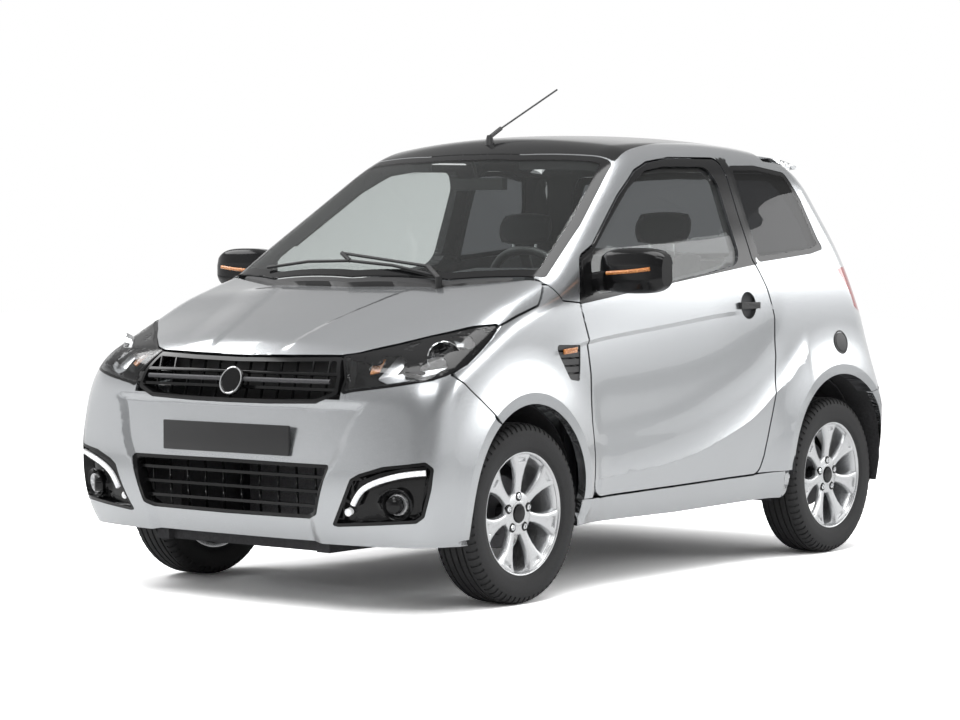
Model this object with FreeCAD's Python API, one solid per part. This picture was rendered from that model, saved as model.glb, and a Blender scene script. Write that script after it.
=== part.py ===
import FreeCAD, Part
import math
import os
from FreeCAD import Vector

os.makedirs("parts", exist_ok=True)

# A two-seat microcar. X points ahead, Y to the car's left, Z up, in millimetres.
# The origin is on the ground, in the middle of the length and the width.

# Overall size and wheels
length = 2758.0
width = 1500.0
height = 1470.0
wheelbase = 1816.0
front_overhang = 577.0
half_width = width / 2
nose_end = length / 2
front_axle_x = nose_end - front_overhang
rear_axle_x = front_axle_x - wheelbase
axle_z = 275.0
tyre_radius = 275.0
tyre_width = 155.0
tyre_outer_y = 711.0
wheel_middle_y = tyre_outer_y - tyre_width / 2

# Gaps between pieces
shut_gap = 7.0
seam_gap = 2.5
fit_gap = 0.3
overrun = 40.0

# Panel thicknesses
wing_wall = 18.0
door_wall = 55.0
door_edge_wall = 24.0
frame_wall = 50.0
roof_wall = 26.0
bonnet_wall = 24.0
bumper_wall = 14.0
tailgate_wall = 20.0
swing_room = 3.0
sill_wall = 18.0
glass_wall = 5.0
lens_wall = 4.0

# Spacing of the points that the skin is worked out at
grid_pitch = 58.0
grid_degrees = 4.4

# Shape of the skin, as shares of length, half width and height
plan_shares = [(-0.5, 0.968), (-0.435, 0.971), (-0.368, 0.963), (-0.254, 0.951), (-0.073, 0.936),
               (0.109, 0.936), (0.291, 0.955), (0.381, 0.972), (0.453, 0.984), (0.5, 0.989)]
section_shares = [(0.121, 0.080), (0.154, 0.051), (0.201, 0.023), (0.269, 0.005), (0.349, 0.0),
                  (0.443, 0.003), (0.524, 0.007), (0.578, 0.011), (0.624, 0.019), (0.663, 0.031),
                  (0.698, 0.048), (0.739, 0.073), (0.805, 0.119), (0.873, 0.165), (0.940, 0.212),
                  (1.007, 0.261)]
bonnet_shares = [(-0.067, 0.752), (0.112, 0.725), (0.220, 0.685), (0.284, 0.654), (0.309, 0.6415),
                 (0.345, 0.618), (0.381, 0.593), (0.416, 0.567), (0.452, 0.537), (0.477, 0.508),
                 (0.498, 0.463)]
bonnet_crown_shares = [(0.2375, 0.015), (0.298, 0.027), (0.363, 0.046), (0.452, 0.069), (0.477, 0.0765)]
roof_shares = [(-0.407, 0.956), (-0.353, 0.976), (-0.2995, 0.990), (-0.210, 1.0), (-0.120, 0.9985),
               (-0.031, 0.9905), (0.023, 0.977), (0.058, 0.960), (0.112, 0.933)]
nose_shares = [(0.121, 0.479), (0.154, 0.488), (0.201, 0.496), (0.255, 0.5), (0.309, 0.4995),
               (0.369, 0.4945), (0.436, 0.487), (0.508, 0.4765), (0.571, 0.459), (0.638, 0.431)]
tail_shares = [(0.121, -0.4825), (0.175, -0.4905), (0.235, -0.498), (0.302, -0.5), (0.376, -0.499),
               (0.4565, -0.4935), (0.537, -0.4835), (0.5775, -0.474), (0.638, -0.458),
               (0.739, -0.4355), (0.839, -0.4085), (0.940, -0.379), (1.007, -0.357)]
roof_camber = 96.0
windscreen_base_x = 823.0
windscreen_base_z = 959.0
windscreen_rise_share = 0.646
windscreen_sweep = 131.0
nose_sweep = 109.0
tail_sweep = 84.0
tail_sweep_low = 42.0
tail_sweep_low_z = 560.0
tail_sweep_high_z = 820.0
shoulder_blend = 90.0
nose_blend = 80.0
tail_blend = 110.0
header_blend = 45.0
scuttle_blend = 12.0

# Wheel arches
front_arch_z = 311.0
rear_arch_z = 338.0
arch_radius = 297.0
arch_flare = 12.0
arch_flare_start = 330.0
arch_flare_fade = 150.0
lip_width = 40.0
lip_rise = 11.0
lip_slope = 14.0

# Centres that the rays which find the skin start from
ray_axis_z = 620.0
nose_ray_x = 640.0
tail_ray_x = -640.0
hatch_ray_x = -560.0
hatch_ray_z = 930.0


class Curve:
    """A natural cubic spline through stations, straight beyond its ends."""

    def __init__(self, shares, along, up):
        stations = sorted((a * along, b * up) for a, b in shares)
        self.x = [a for a, _ in stations]
        self.y = [b for _, b in stations]
        count = len(stations)
        self.step = [self.x[i + 1] - self.x[i] for i in range(count - 1)]
        self.bend = [0.0] * count
        factor = [0.0] * count
        partial = [0.0] * count
        for i in range(1, count - 1):
            before, after = self.step[i - 1], self.step[i]
            rise = (self.y[i + 1] - self.y[i]) / after - (self.y[i] - self.y[i - 1]) / before
            pivot = 2 * (before + after) - before * factor[i - 1]
            factor[i] = after / pivot
            partial[i] = (6 * rise - before * partial[i - 1]) / pivot
        for i in range(count - 2, 0, -1):
            self.bend[i] = partial[i] - factor[i] * self.bend[i + 1]

    def __call__(self, t):
        x, y, bend, step = self.x, self.y, self.bend, self.step
        if t <= x[0]:
            return y[0] + (t - x[0]) * ((y[1] - y[0]) / step[0] - step[0] * bend[1] / 6)
        if t >= x[-1]:
            return y[-1] + (t - x[-1]) * ((y[-1] - y[-2]) / step[-1] + step[-1] * bend[-2] / 6)
        i = 0
        while x[i + 1] < t:
            i += 1
        a = (x[i + 1] - t) / step[i]
        b = 1 - a
        curve = ((a ** 3 - a) * bend[i] + (b ** 3 - b) * bend[i + 1]) * step[i] ** 2 / 6
        return a * y[i] + b * y[i + 1] + curve


plan = Curve(plan_shares, length, half_width)
section = Curve(section_shares, height, half_width)
bonnet_line = Curve(bonnet_shares, length, height)
bonnet_crown = Curve(bonnet_crown_shares, length, height)
roof_line = Curve(roof_shares, length, height)
nose_line = Curve(nose_shares, height, length)
tail_line = Curve(tail_shares, height, length)


def soft_min(a, b, blend):
    """The lower of two values, rounded over a width where they cross."""
    near = max(blend - abs(a - b), 0.0) / blend
    return min(a, b) - near * near * blend / 4


def soft_max(a, b, blend):
    return -soft_min(-a, -b, blend)


def ramp(t):
    t = min(max(t, 0.0), 1.0)
    return t * t * (3 - 2 * t)


def side_y(x, z):
    """Half width of the skin, with the gentle swell round each wheel arch."""
    half = plan(x) - section(z)
    for arch_x, arch_z in ((front_axle_x, front_arch_z), (rear_axle_x, rear_arch_z)):
        reach = math.hypot(x - arch_x, z - arch_z)
        half += arch_flare * (1 - ramp((reach - arch_flare_start) / arch_flare_fade))
    return half


def bonnet_z(x, y):
    return bonnet_line(x) - bonnet_crown(x) * (y / half_width) ** 2


def cabin_z(x, y):
    """Height of windscreen and roof."""
    out = (y / half_width) ** 2
    screen_z = windscreen_base_z + windscreen_rise_share * (windscreen_base_x - x) - windscreen_sweep * out
    return soft_min(screen_z, roof_line(x) - roof_camber * out, header_blend)


def top_z(x, y):
    return soft_max(bonnet_z(x, y), cabin_z(x, y), scuttle_blend)


def depth_inside(x, y, z, top):
    """How far a point lies under the skin with that top, below zero outside."""
    y = abs(y)
    out = (y / half_width) ** 3
    depth = soft_min(side_y(x, z) - y, top(x, y) - z, shoulder_blend)
    depth = soft_min(depth, nose_line(z) - nose_sweep * out - x, nose_blend)
    sweep_share = ramp((z - tail_sweep_low_z) / (tail_sweep_high_z - tail_sweep_low_z))
    sweep = tail_sweep_low + (tail_sweep - tail_sweep_low) * sweep_share
    return soft_min(depth, x - tail_line(z) - sweep * out, tail_blend)


# Ray families: each gives a start and a direction from two coordinates
def across(x, degrees):
    angle = math.radians(degrees)
    return Vector(x, 0, ray_axis_z), Vector(0, math.cos(angle), math.sin(angle))


def ahead(degrees, z):
    angle = math.radians(degrees)
    return Vector(nose_ray_x, 0, z), Vector(math.cos(angle), math.sin(angle), 0)


def astern(degrees, z):
    angle = math.radians(degrees)
    return Vector(tail_ray_x, 0, z), Vector(-math.cos(angle), math.sin(angle), 0)


def over_tail(y, degrees):
    angle = math.radians(degrees)
    return Vector(hatch_ray_x, y, hatch_ray_z), Vector(-math.cos(angle), 0, math.sin(angle))


def reach_skin(start, way, top=top_z):
    """Distance from start along way to the skin."""
    low, high = 0.0, length
    while high - low > fit_gap / 30:
        middle = (low + high) / 2
        point = start + way * middle
        if depth_inside(point.x, point.y, point.z, top) > 0:
            low = middle
        else:
            high = middle
    return low


def spread(first, last, pitch):
    count = max(4, math.ceil(abs(last - first) / pitch))
    return [first + (last - first) * i / count for i in range(count + 1)]


def solid_from(faces):
    shell = Part.Shell(faces)
    shell.sewShape()
    solid = Part.Solid(shell)
    if solid.Volume < 0:
        solid.reverse()
    return solid


def closed_between(outer_grid, inner_grid):
    """Solid between two grids of points."""
    faces, sides = [], []
    for grid in (outer_grid, inner_grid):
        surface = Part.BSplineSurface()
        surface.interpolate(grid)
        faces.append(surface.toShape())
        u0, u1, v0, v1 = surface.bounds()
        rims = (surface.uIso(u0), surface.uIso(u1), surface.vIso(v0), surface.vIso(v1))
        sides.append([curve.toShape() for curve in rims])
    faces += [Part.makeRuledSurface(a, b) for a, b in zip(*sides)]
    return solid_from(faces)


def slab(family, first, second, outer, inner, top=top_z):
    """Solid between two depths under the skin, over a range of both ray coordinates."""
    first_pitch = grid_degrees if family in (ahead, astern) else grid_pitch
    second_pitch = grid_degrees if family in (across, over_tail) else grid_pitch
    outer_grid, inner_grid = [], []
    for a in spread(first[0], first[1], first_pitch):
        outer_row, inner_row = [], []
        for b in spread(second[0], second[1], second_pitch):
            start, way = family(a, b)
            distance = reach_skin(start, way, top)
            outer_row.append(start + way * (distance - outer))
            inner_row.append(start + way * (distance - inner))
        outer_grid.append(outer_row)
        inner_grid.append(inner_row)
    return closed_between(outer_grid, inner_grid)


# Views that outlines are drawn in: the direction looked along, with across and up
class View:
    def __init__(self, along, across_way, up_way):
        self.along, self.across, self.up = along, across_way, up_way

    def lift(self, point):
        return self.across * point[0] + self.up * point[1]

    def flat(self, point):
        return point.dot(self.across), point.dot(self.up)


corner_degrees = 40.0
corner_turn = math.radians(corner_degrees)
side_view = View(Vector(0, 1, 0), Vector(1, 0, 0), Vector(0, 0, 1))
top_view = View(Vector(0, 0, 1), Vector(1, 0, 0), Vector(0, 1, 0))
front_view = View(Vector(1, 0, 0), Vector(0, 1, 0), Vector(0, 0, 1))
corner_view = View(Vector(math.cos(corner_turn), math.sin(corner_turn), 0),
                   Vector(-math.sin(corner_turn), math.cos(corner_turn), 0), Vector(0, 0, 1))
rear_corner_view = View(Vector(-math.cos(corner_turn), math.sin(corner_turn), 0),
                        Vector(math.sin(corner_turn), math.cos(corner_turn), 0), Vector(0, 0, 1))


def in_side(shares):
    return [(a * length, b * height) for a, b in shares]


def in_top(shares):
    return [(a * length, b * half_width) for a, b in shares]


def in_front(shares):
    return [(a * half_width, b * height) for a, b in shares]


def in_corner(view, shares):
    return [view.flat(Vector(a * length, b * half_width, c * height)) for a, b, c in shares]


def signed_area(points):
    total = 0.0
    for (a, b), (c, d) in zip(points, points[1:] + points[:1]):
        total += a * d - b * c
    return total / 2


def grown(points, gap):
    """The outline moved outward by gap, or inward where gap is below zero."""
    turn = 1.0 if signed_area(points) > 0 else -1.0
    count = len(points)
    moved = []
    for i in range(count):
        before, here, after = points[i - 1], points[i], points[(i + 1) % count]
        one = (here[0] - before[0], here[1] - before[1])
        two = (after[0] - here[0], after[1] - here[1])
        one_size, two_size = math.hypot(*one), math.hypot(*two)
        normal_one = (turn * one[1] / one_size, -turn * one[0] / one_size)
        normal_two = (turn * two[1] / two_size, -turn * two[0] / two_size)
        spread_out = 1 + normal_one[0] * normal_two[0] + normal_one[1] * normal_two[1]
        moved.append((here[0] + gap * (normal_one[0] + normal_two[0]) / spread_out,
                      here[1] + gap * (normal_one[1] + normal_two[1]) / spread_out))
    return moved


least_rounding = 3.0


def rounded_wire(view, points, radius):
    """Closed wire through the points with every corner rounded as far as its runs allow."""
    corners = [view.lift(p) for p in points]
    count = len(corners)
    joints = []
    for i in range(count):
        here = corners[i]
        back = corners[i - 1] - here
        forth = corners[(i + 1) % count] - here
        run = min(back.Length, forth.Length)
        back.normalize()
        forth.normalize()
        half = back.getAngle(forth) / 2
        trim = min(radius / math.tan(half), run * 0.45)
        bow = trim * math.tan(half)
        middle_way = back + forth
        if trim < least_rounding:
            joints.append((here, None, here))
            continue
        middle_way.normalize()
        centre = here + middle_way * (bow / math.sin(half))
        joints.append((here + back * trim, centre - middle_way * bow, here + forth * trim))
    edges = []
    for i in range(count):
        start, middle, end = joints[i]
        if middle is not None:
            edges.append(Part.Arc(start, middle, end).toShape())
        follow = joints[(i + 1) % count][0]
        if (follow - end).Length > 1e-6:
            edges.append(Part.LineSegment(end, follow).toShape())
    return Part.Wire(edges)


def punch(view, points, radius, near, far):
    """Solid through the car along a view, with the outline's rounded shape."""
    face = Part.Face(rounded_wire(view, points, radius))
    face.translate(view.along * near)
    return face.extrude(view.along * (far - near))


def box(low, high):
    return Part.makeBox(high[0] - low[0], high[1] - low[1], high[2] - low[2], Vector(*low))


def disc(centre, radius, thickness, way):
    return Part.makeCylinder(radius, thickness, Vector(*centre), Vector(*way))


def rod(start, end, radius):
    start, end = Vector(*start), Vector(*end)
    return Part.makeCylinder(radius, (end - start).Length, start, end - start)


def mirrored(shape):
    return shape.mirror(Vector(0, 0, 0), Vector(0, 1, 0))


def both_sides(shape):
    return Part.makeCompound([shape, mirrored(shape)])


def save(name, shape):
    """Write one node, without the slivers that a cut can leave."""
    solids = [solid for solid in shape.Solids if solid.Volume > smallest_solid]
    Part.makeCompound(solids).exportStep("parts/" + name + ".step")


smallest_solid = 1000.0


# Outlines seen from the side, as shares of length and height
door_shares = [(0.1625, 0.205), (0.1625, 0.285), (0.1645, 0.362), (0.163, 0.463), (0.167, 0.538),
               (0.180, 0.616), (0.1775, 0.646), (0.170, 0.690), (0.1625, 0.7135), (0.135, 0.736),
               (0.054, 0.846), (0.004, 0.903), (-0.029, 0.923), (-0.081, 0.9355), (-0.181, 0.939),
               (-0.187, 0.900), (-0.188, 0.808), (-0.191, 0.705), (-0.197, 0.690), (-0.2125, 0.638),
               (-0.2255, 0.571), (-0.227, 0.482), (-0.219, 0.394), (-0.208, 0.320), (-0.2005, 0.254),
               (-0.192, 0.212), (-0.016, 0.208)]
door_glass_shares = [(0.148, 0.712), (0.089, 0.789), (0.030, 0.864), (-0.015, 0.905), (-0.061, 0.917),
                     (-0.150, 0.920), (-0.164, 0.882), (-0.1665, 0.698), (-0.096, 0.677),
                     (-0.019, 0.660), (0.095, 0.640), (0.150, 0.634), (0.157, 0.690)]
quarter_glass_shares = [(-0.199, 0.925), (-0.199, 0.880), (-0.1995, 0.808), (-0.203, 0.700),
                        (-0.281, 0.712), (-0.330, 0.720), (-0.362, 0.731), (-0.355, 0.755),
                        (-0.342, 0.850), (-0.324, 0.914), (-0.260, 0.928)]
side_frame_shares = [(0.232, 0.662), (0.215, 0.622), (0.120, 0.600), (0.100, 0.500), (-0.150, 0.500),
                     (-0.150, 0.213), (-0.520, 0.213), (-0.520, 1.05), (0.080, 1.05), (0.260, 0.800)]
wing_shares = [(0.232, 0.660), (0.2615, 0.613), (0.303, 0.592), (0.3315, 0.575), (0.352, 0.5495),
               (0.373, 0.526), (0.398, 0.501), (0.427, 0.4815), (0.407, 0.462), (0.3815, 0.428),
               (0.355, 0.384), (0.300, 0.300), (0.240, 0.202), (0.1625, 0.202), (0.1625, 0.285),
               (0.1645, 0.362), (0.163, 0.463), (0.167, 0.538), (0.180, 0.617), (0.215, 0.622)]
below_bonnet_shares = [(0.226, 0.680), (0.232, 0.660), (0.2615, 0.613), (0.303, 0.592),
                       (0.3315, 0.575), (0.350, 0.560), (0.350, 0.400), (0.150, 0.400), (0.150, 0.680)]
sill_shares = [(0.1905, 0.2005), (0.1905, 0.148), (-0.030, 0.143), (-0.262, 0.150), (-0.262, 0.213),
               (-0.192, 0.209), (-0.016, 0.2045), (0.1625, 0.2015)]
rear_bumper_shares = [(-0.530, 0.130), (-0.330, 0.130), (-0.330, 0.352), (-0.445, 0.385),
                      (-0.530, 0.408)]

# Outlines seen from above, as shares of length and half width
bonnet_top_shares = [(0.4725, 0.0), (0.469, 0.260), (0.4585, 0.480), (0.447, 0.563), (0.419, 0.687),
                     (0.3945, 0.768), (0.362, 0.879), (0.333, 0.930), (0.326, 1.1), (0.200, 1.1),
                     (0.233, 0.868), (0.2815, 0.483), (0.2945, 0.0)]
screen_top_shares = [(0.282, 0.0), (0.269, 0.483), (0.2265, 0.862), (0.135, 0.799), (0.029, 0.693),
                     (0.0525, 0.271), (0.056, 0.0)]
roof_top_shares = [(0.054, 0.0), (0.0505, 0.271), (0.0265, 0.693), (-0.024, 0.653), (-0.100, 0.600),
                   (-0.200, 0.580), (-0.288, 0.573), (-0.292, 0.300), (-0.294, 0.0)]
scuttle_top_shares = [(0.2945, 0.0), (0.2815, 0.483), (0.236, 0.860), (0.2265, 0.862), (0.269, 0.483),
                      (0.282, 0.0)]

# Outlines that wrap round a corner, as shares of length, half width and height
headlamp_shares = [(0.456, 0.500, 0.514), (0.447, 0.563, 0.519), (0.419, 0.687, 0.537),
                   (0.3945, 0.768, 0.552), (0.362, 0.879, 0.569), (0.333, 0.928, 0.576),
                   (0.352, 0.943, 0.5495), (0.373, 0.951, 0.526), (0.398, 0.957, 0.501),
                   (0.429, 0.948, 0.480), (0.4435, 0.913, 0.470), (0.464, 0.771, 0.457),
                   (0.476, 0.611, 0.446), (0.4795, 0.555, 0.439), (0.472, 0.560, 0.471)]
behind_bumper_shares = [(0.427, 0.951, 0.4815), (0.407, 0.973, 0.462), (0.3815, 0.979, 0.428),
                        (0.355, 0.983, 0.384), (0.300, 0.983, 0.330), (0.200, 0.983, 0.330),
                        (0.200, 0.983, 0.620), (0.427, 0.951, 0.620)]
fog_shares = [(0.489, 0.548, 0.180), (0.4895, 0.640, 0.275), (0.488, 0.680, 0.286),
              (0.481, 0.780, 0.302), (0.463, 0.939, 0.313), (0.456, 0.961, 0.300),
              (0.4575, 0.953, 0.2585), (0.4605, 0.927, 0.203), (0.4645, 0.899, 0.191),
              (0.486, 0.568, 0.1775)]
tail_lamp_shares = [(-0.381, 0.925, 0.684), (-0.408, 0.948, 0.619), (-0.412, 0.950, 0.590),
                    (-0.440, 0.860, 0.560), (-0.462, 0.690, 0.565), (-0.455, 0.690, 0.640),
                    (-0.448, 0.700, 0.690), (-0.415, 0.850, 0.694)]

# Outlines seen from the front or the rear, as shares of half width and height
upper_grille_shares = [(0.0, 0.508), (0.260, 0.510), (0.492, 0.5135), (0.535, 0.475), (0.545, 0.440),
                       (0.449, 0.4215), (0.200, 0.418), (0.0, 0.4175)]
lower_grille_shares = [(0.0, 0.3035), (0.544, 0.3015), (0.475, 0.200), (0.425, 0.1875), (0.0, 0.186)]
plate_recess_shares = [(0.0, 0.372), (0.330, 0.372), (0.330, 0.316), (0.0, 0.316)]
tailgate_shares = [(0.0, 1.05), (0.690, 1.05), (0.713, 0.915), (0.767, 0.850), (0.833, 0.754),
                   (0.845, 0.715), (0.690, 0.700), (0.665, 0.640), (0.665, 0.460), (0.600, 0.418),
                   (0.0, 0.414)]
tailgate_glass_shares = [(0.0, 0.925), (0.560, 0.915), (0.620, 0.880), (0.735, 0.752), (0.715, 0.722),
                         (0.400, 0.706), (0.0, 0.702)]

door_outline = in_side(door_shares)
quarter_outline = in_side(quarter_glass_shares)
door_glass_outline = in_side(door_glass_shares)
wing_outline = in_side(wing_shares)
headlamp_outline = in_corner(corner_view, headlamp_shares)
fog_outline = in_corner(corner_view, fog_shares)
tail_lamp_outline = in_corner(rear_corner_view, tail_lamp_shares)


def two_halves(shares):
    """A whole outline from the half of it on the car's left, in a view from the front."""
    return shares + [(-a, b) for a, b in reversed(shares) if a > 0]


def two_halves_top(shares):
    return shares + [(a, -b) for a, b in reversed(shares) if b > 0]


screen_outline = in_top(two_halves_top(screen_top_shares))
roof_outline = in_top(two_halves_top(roof_top_shares))
bonnet_outline = in_top(two_halves_top(bonnet_top_shares))
scuttle_outline = in_top(two_halves_top(scuttle_top_shares))
upper_grille_outline = in_front(two_halves(upper_grille_shares))
lower_grille_outline = in_front(two_halves(lower_grille_shares))
plate_outline = in_front(two_halves(plate_recess_shares))
tailgate_outline = in_front(two_halves(tailgate_shares))
tailgate_glass_outline = in_front(two_halves(tailgate_glass_shares))

soft_corner = 60.0
small_corner = 12.0


def side_punch(points, radius):
    return punch(side_view, points, radius, half_width / 4, width)


def top_punch(points, radius):
    return punch(top_view, points, radius, height / 3, height * 2)


def nose_punch(points, radius):
    return punch(front_view, points, radius, front_axle_x, length)


def tail_punch(points, radius):
    return punch(front_view, points, radius, -length, rear_axle_x / 2)


def corner_punch(view, points, radius):
    return punch(view, points, radius, half_width, length)


def arch_hole(arch_x, arch_z, radius):
    return disc((arch_x, half_width / 3, arch_z), radius, half_width, (0, 1, 0))


def arch_lip(arch_x, arch_z):
    """The flat raised band round a wheel arch; its outer edge dives under the skin."""
    rims, first, last = [], [], []
    for share, lift in lip_profile:
        reach = arch_radius + lip_width * share
        row = []
        for degrees in spread(lip_first_degrees, lip_last_degrees, lip_pitch_degrees):
            turn = math.radians(degrees)
            x = arch_x + reach * math.cos(turn)
            z = arch_z + reach * math.sin(turn)
            row.append(Vector(x, side_y(x, z) + lip_rise * lift, z))
        curve = Part.BSplineCurve()
        curve.interpolate(row)
        rims.append(curve.toShape())
        first.append(row[0])
        last.append(row[-1])
    faces = [Part.makeRuledSurface(rims[i - 1], rims[i]) for i in range(len(rims))]
    faces += [Part.Face(Part.makePolygon(end + end[:1])) for end in (first, last)]
    ring = solid_from(faces)
    return ring.common(box((-length, 0, lip_low_z), (length, width, height)))


# Each corner of the band's section: share of its width outward, share of its rise
lip_profile = ((-0.3, 1.0), (0.85, 1.0), (1.35, -0.5), (1.35, -1.2), (-0.3, -1.2))
lip_pitch_degrees = 11.0
lip_low_z = 0.150 * height
lip_first_degrees = -42.0
lip_last_degrees = 222.0

# Front wing, with its raised arch band and the vent behind the wheel
vent_shares = [(0.2345, 0.531), (0.182, 0.5285), (0.187, 0.452), (0.207, 0.4565)]
vent_outline = in_side(vent_shares)
side_low_degrees = -40.0


def front_wing():
    skin = slab(across, (0.150 * length, 0.450 * length), (side_low_degrees, 30.0), 0, wing_wall)
    skin = skin.fuse(arch_lip(front_axle_x, front_arch_z))
    wing = skin.common(side_punch(grown(wing_outline, -seam_gap), small_corner))
    wing = wing.cut(side_punch(grown(door_outline, 1.15 * shut_gap), soft_corner))
    wing = wing.cut(corner_punch(corner_view, grown(headlamp_outline, fit_gap), small_corner))
    wing = wing.cut(side_punch(vent_outline, small_corner))
    return wing.cut(arch_hole(front_axle_x, front_arch_z, arch_radius))


def wing_vent():
    """Black louvred insert in the wing's vent."""
    insert = slab(across, (0.170 * length, 0.245 * length), (side_low_degrees, 30.0), vent_set_back, wing_wall)
    insert = insert.common(side_punch(grown(vent_outline, -fit_gap), small_corner))
    for i in range(1, vent_slats):
        z = vent_low_z + (vent_high_z - vent_low_z) * i / vent_slats
        slot = box((0.170 * length, half_width / 2, z), (0.245 * length, width, z + vent_slot))
        shallow = slab(across, (0.170 * length, 0.245 * length), (side_low_degrees, 30.0),
                       -overrun, vent_set_back + vent_slot)
        insert = insert.cut(slot.common(shallow))
    return insert


vent_set_back = 3.0
vent_slats = 5
vent_slot = 6.0
vent_low_z = 0.452 * height
vent_high_z = 0.531 * height

# Body side: pillars, cant rail and rear quarter in one frame
tail_zone_shares = [(-0.294, 1.10), (-0.294, 0.930), (-0.335, 0.925), (-0.375, 0.840), (-0.402, 0.740),
                    (-0.428, 0.640), (-0.452, 0.540), (-0.462, 0.380), (-0.600, 0.380), (-0.600, 1.10)]
tail_zone_outline = in_side(tail_zone_shares)


def tail_zone(gap):
    """Everything behind the line where the tailgate meets the body side."""
    whole = punch(side_view, grown(tail_zone_outline, gap), small_corner, -width, width)
    return whole.common(punch(front_view, grown(tailgate_outline, gap), soft_corner, -length, 0))


def bumper_zone(gap):
    return punch(side_view, grown(in_side(rear_bumper_shares), gap), small_corner, -width, width)


# Door hinges: the pins lie under the skin behind the door's leading edge
hinge_x = 375.0
hinge_depth = 12.0
hinge_low_z = 420.0
hinge_high_z = 800.0
hinge_pin_radius = 4.0
hinge_arm = 10.0
hinge_height = 40.0
pin_clearance = 0.8
post_y = 575.0
post_wall = 20.0
hinge_low = Vector(hinge_x, side_y(hinge_x, hinge_low_z) - hinge_depth, hinge_low_z)
hinge_high = Vector(hinge_x, side_y(hinge_x, hinge_high_z) - hinge_depth, hinge_high_z)
hinge_way = (hinge_high - hinge_low).normalize()
floor_z = 225.0
floor_wall = 14.0


def hinge_pin(z, radius, half):
    middle = hinge_low + hinge_way * ((z - hinge_low_z) / hinge_way.z)
    return disc(tuple(middle - hinge_way * half), radius, 2 * half, tuple(hinge_way))


def front_post():
    """Post ahead of the door, with the arms and pins of its two hinges."""
    post = box((hinge_x + hinge_arm, post_y, floor_z + floor_wall + fit_gap),
               (front_axle_x - liner_radius - 2 * liner_wall, post_y + post_wall, hinge_high_z + hinge_height / 2))
    head = box((0.172 * length, post_y, 0.480 * height), (0.208 * length, post_y + post_wall, 0.640 * height))
    knee = box((0.150 * length, post_y, 0.480 * height),
               (0.208 * length, post_y + post_wall, hinge_high_z + hinge_height / 2))
    bridge = box((0.196 * length, post_y, 0.6225 * height), (0.2155 * length, side_y(0.206 * length, 0.630 * height) - frame_wall / 2,
                                                            0.640 * height))
    post = post.fuse([head, knee, bridge])
    for z in (hinge_low_z, hinge_high_z):
        middle = hinge_low + hinge_way * ((z - hinge_low_z) / hinge_way.z)
        arm = box((hinge_x - hinge_arm / 2, post_y, z - hinge_height / 2),
                  (hinge_x + hinge_arm / 2, middle.y, z + hinge_height / 2))
        link = box((hinge_x - hinge_arm / 2, post_y, z - hinge_height / 2),
                   (hinge_x + 2 * hinge_arm, post_y + hinge_arm, z + hinge_height / 2))
        post = post.fuse([arm, link, hinge_pin(z, hinge_pin_radius, hinge_height)])
    return post


def side_frame():
    skin = slab(across, (-0.480 * length, 0.240 * length), (side_low_degrees, 84.0), 0, frame_wall)
    skin = skin.fuse(arch_lip(rear_axle_x, rear_arch_z))
    frame = skin.common(side_punch(in_side(side_frame_shares), small_corner))
    frame = frame.cut(side_punch(grown(door_outline, shut_gap), soft_corner))
    frame = frame.cut(side_punch(grown(wing_outline, seam_gap), small_corner))
    frame = frame.cut(side_punch(grown(quarter_outline, fit_gap), small_corner * 2))
    frame = frame.cut(top_punch(grown(roof_outline, fit_gap), small_corner))
    frame = frame.cut(top_punch(grown(screen_outline, fit_gap), small_corner * 2))
    frame = frame.cut(tail_zone(shut_gap))
    frame = frame.cut(bumper_zone(seam_gap))
    frame = frame.cut(box((hatch_hinge_x - hinge_arm, hatch_hinge_y - 3 * hinge_arm, 0),
                          (hatch_hinge_x + 5 * hinge_arm, hatch_hinge_y + 3 * hinge_arm, length)))
    frame = frame.cut(corner_punch(rear_corner_view, grown(tail_lamp_outline, fit_gap), small_corner))
    frame = frame.cut(arch_hole(rear_axle_x, rear_arch_z, arch_radius))
    frame = frame.cut(box((bonnet_hinge_x - bonnet_ear, bonnet_hinge_y - bonnet_ear, bonnet_hinge_z - bonnet_ear * 2),
                          (length, bonnet_hinge_y + bonnet_ear / 2, height)))
    pin = disc((bonnet_hinge_x, bonnet_hinge_y - bonnet_ear / 2, bonnet_hinge_z), hinge_pin_radius,
               bonnet_ear * 2, (0, 1, 0))
    bracket = box((bonnet_hinge_x - bonnet_ear * 2, bonnet_hinge_y + bonnet_ear / 2, bonnet_hinge_z - bonnet_ear * 2),
                  (bonnet_hinge_x + hinge_pin_radius, bonnet_hinge_y + bonnet_ear, bonnet_hinge_z + hinge_pin_radius))
    return frame.fuse([bracket, pin])


# Bonnet hinge at each rear corner
bonnet_hinge_x = 636.0
bonnet_hinge_z = 968.0
bonnet_hinge_y = 612.0
bonnet_ear = 16.0


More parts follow.
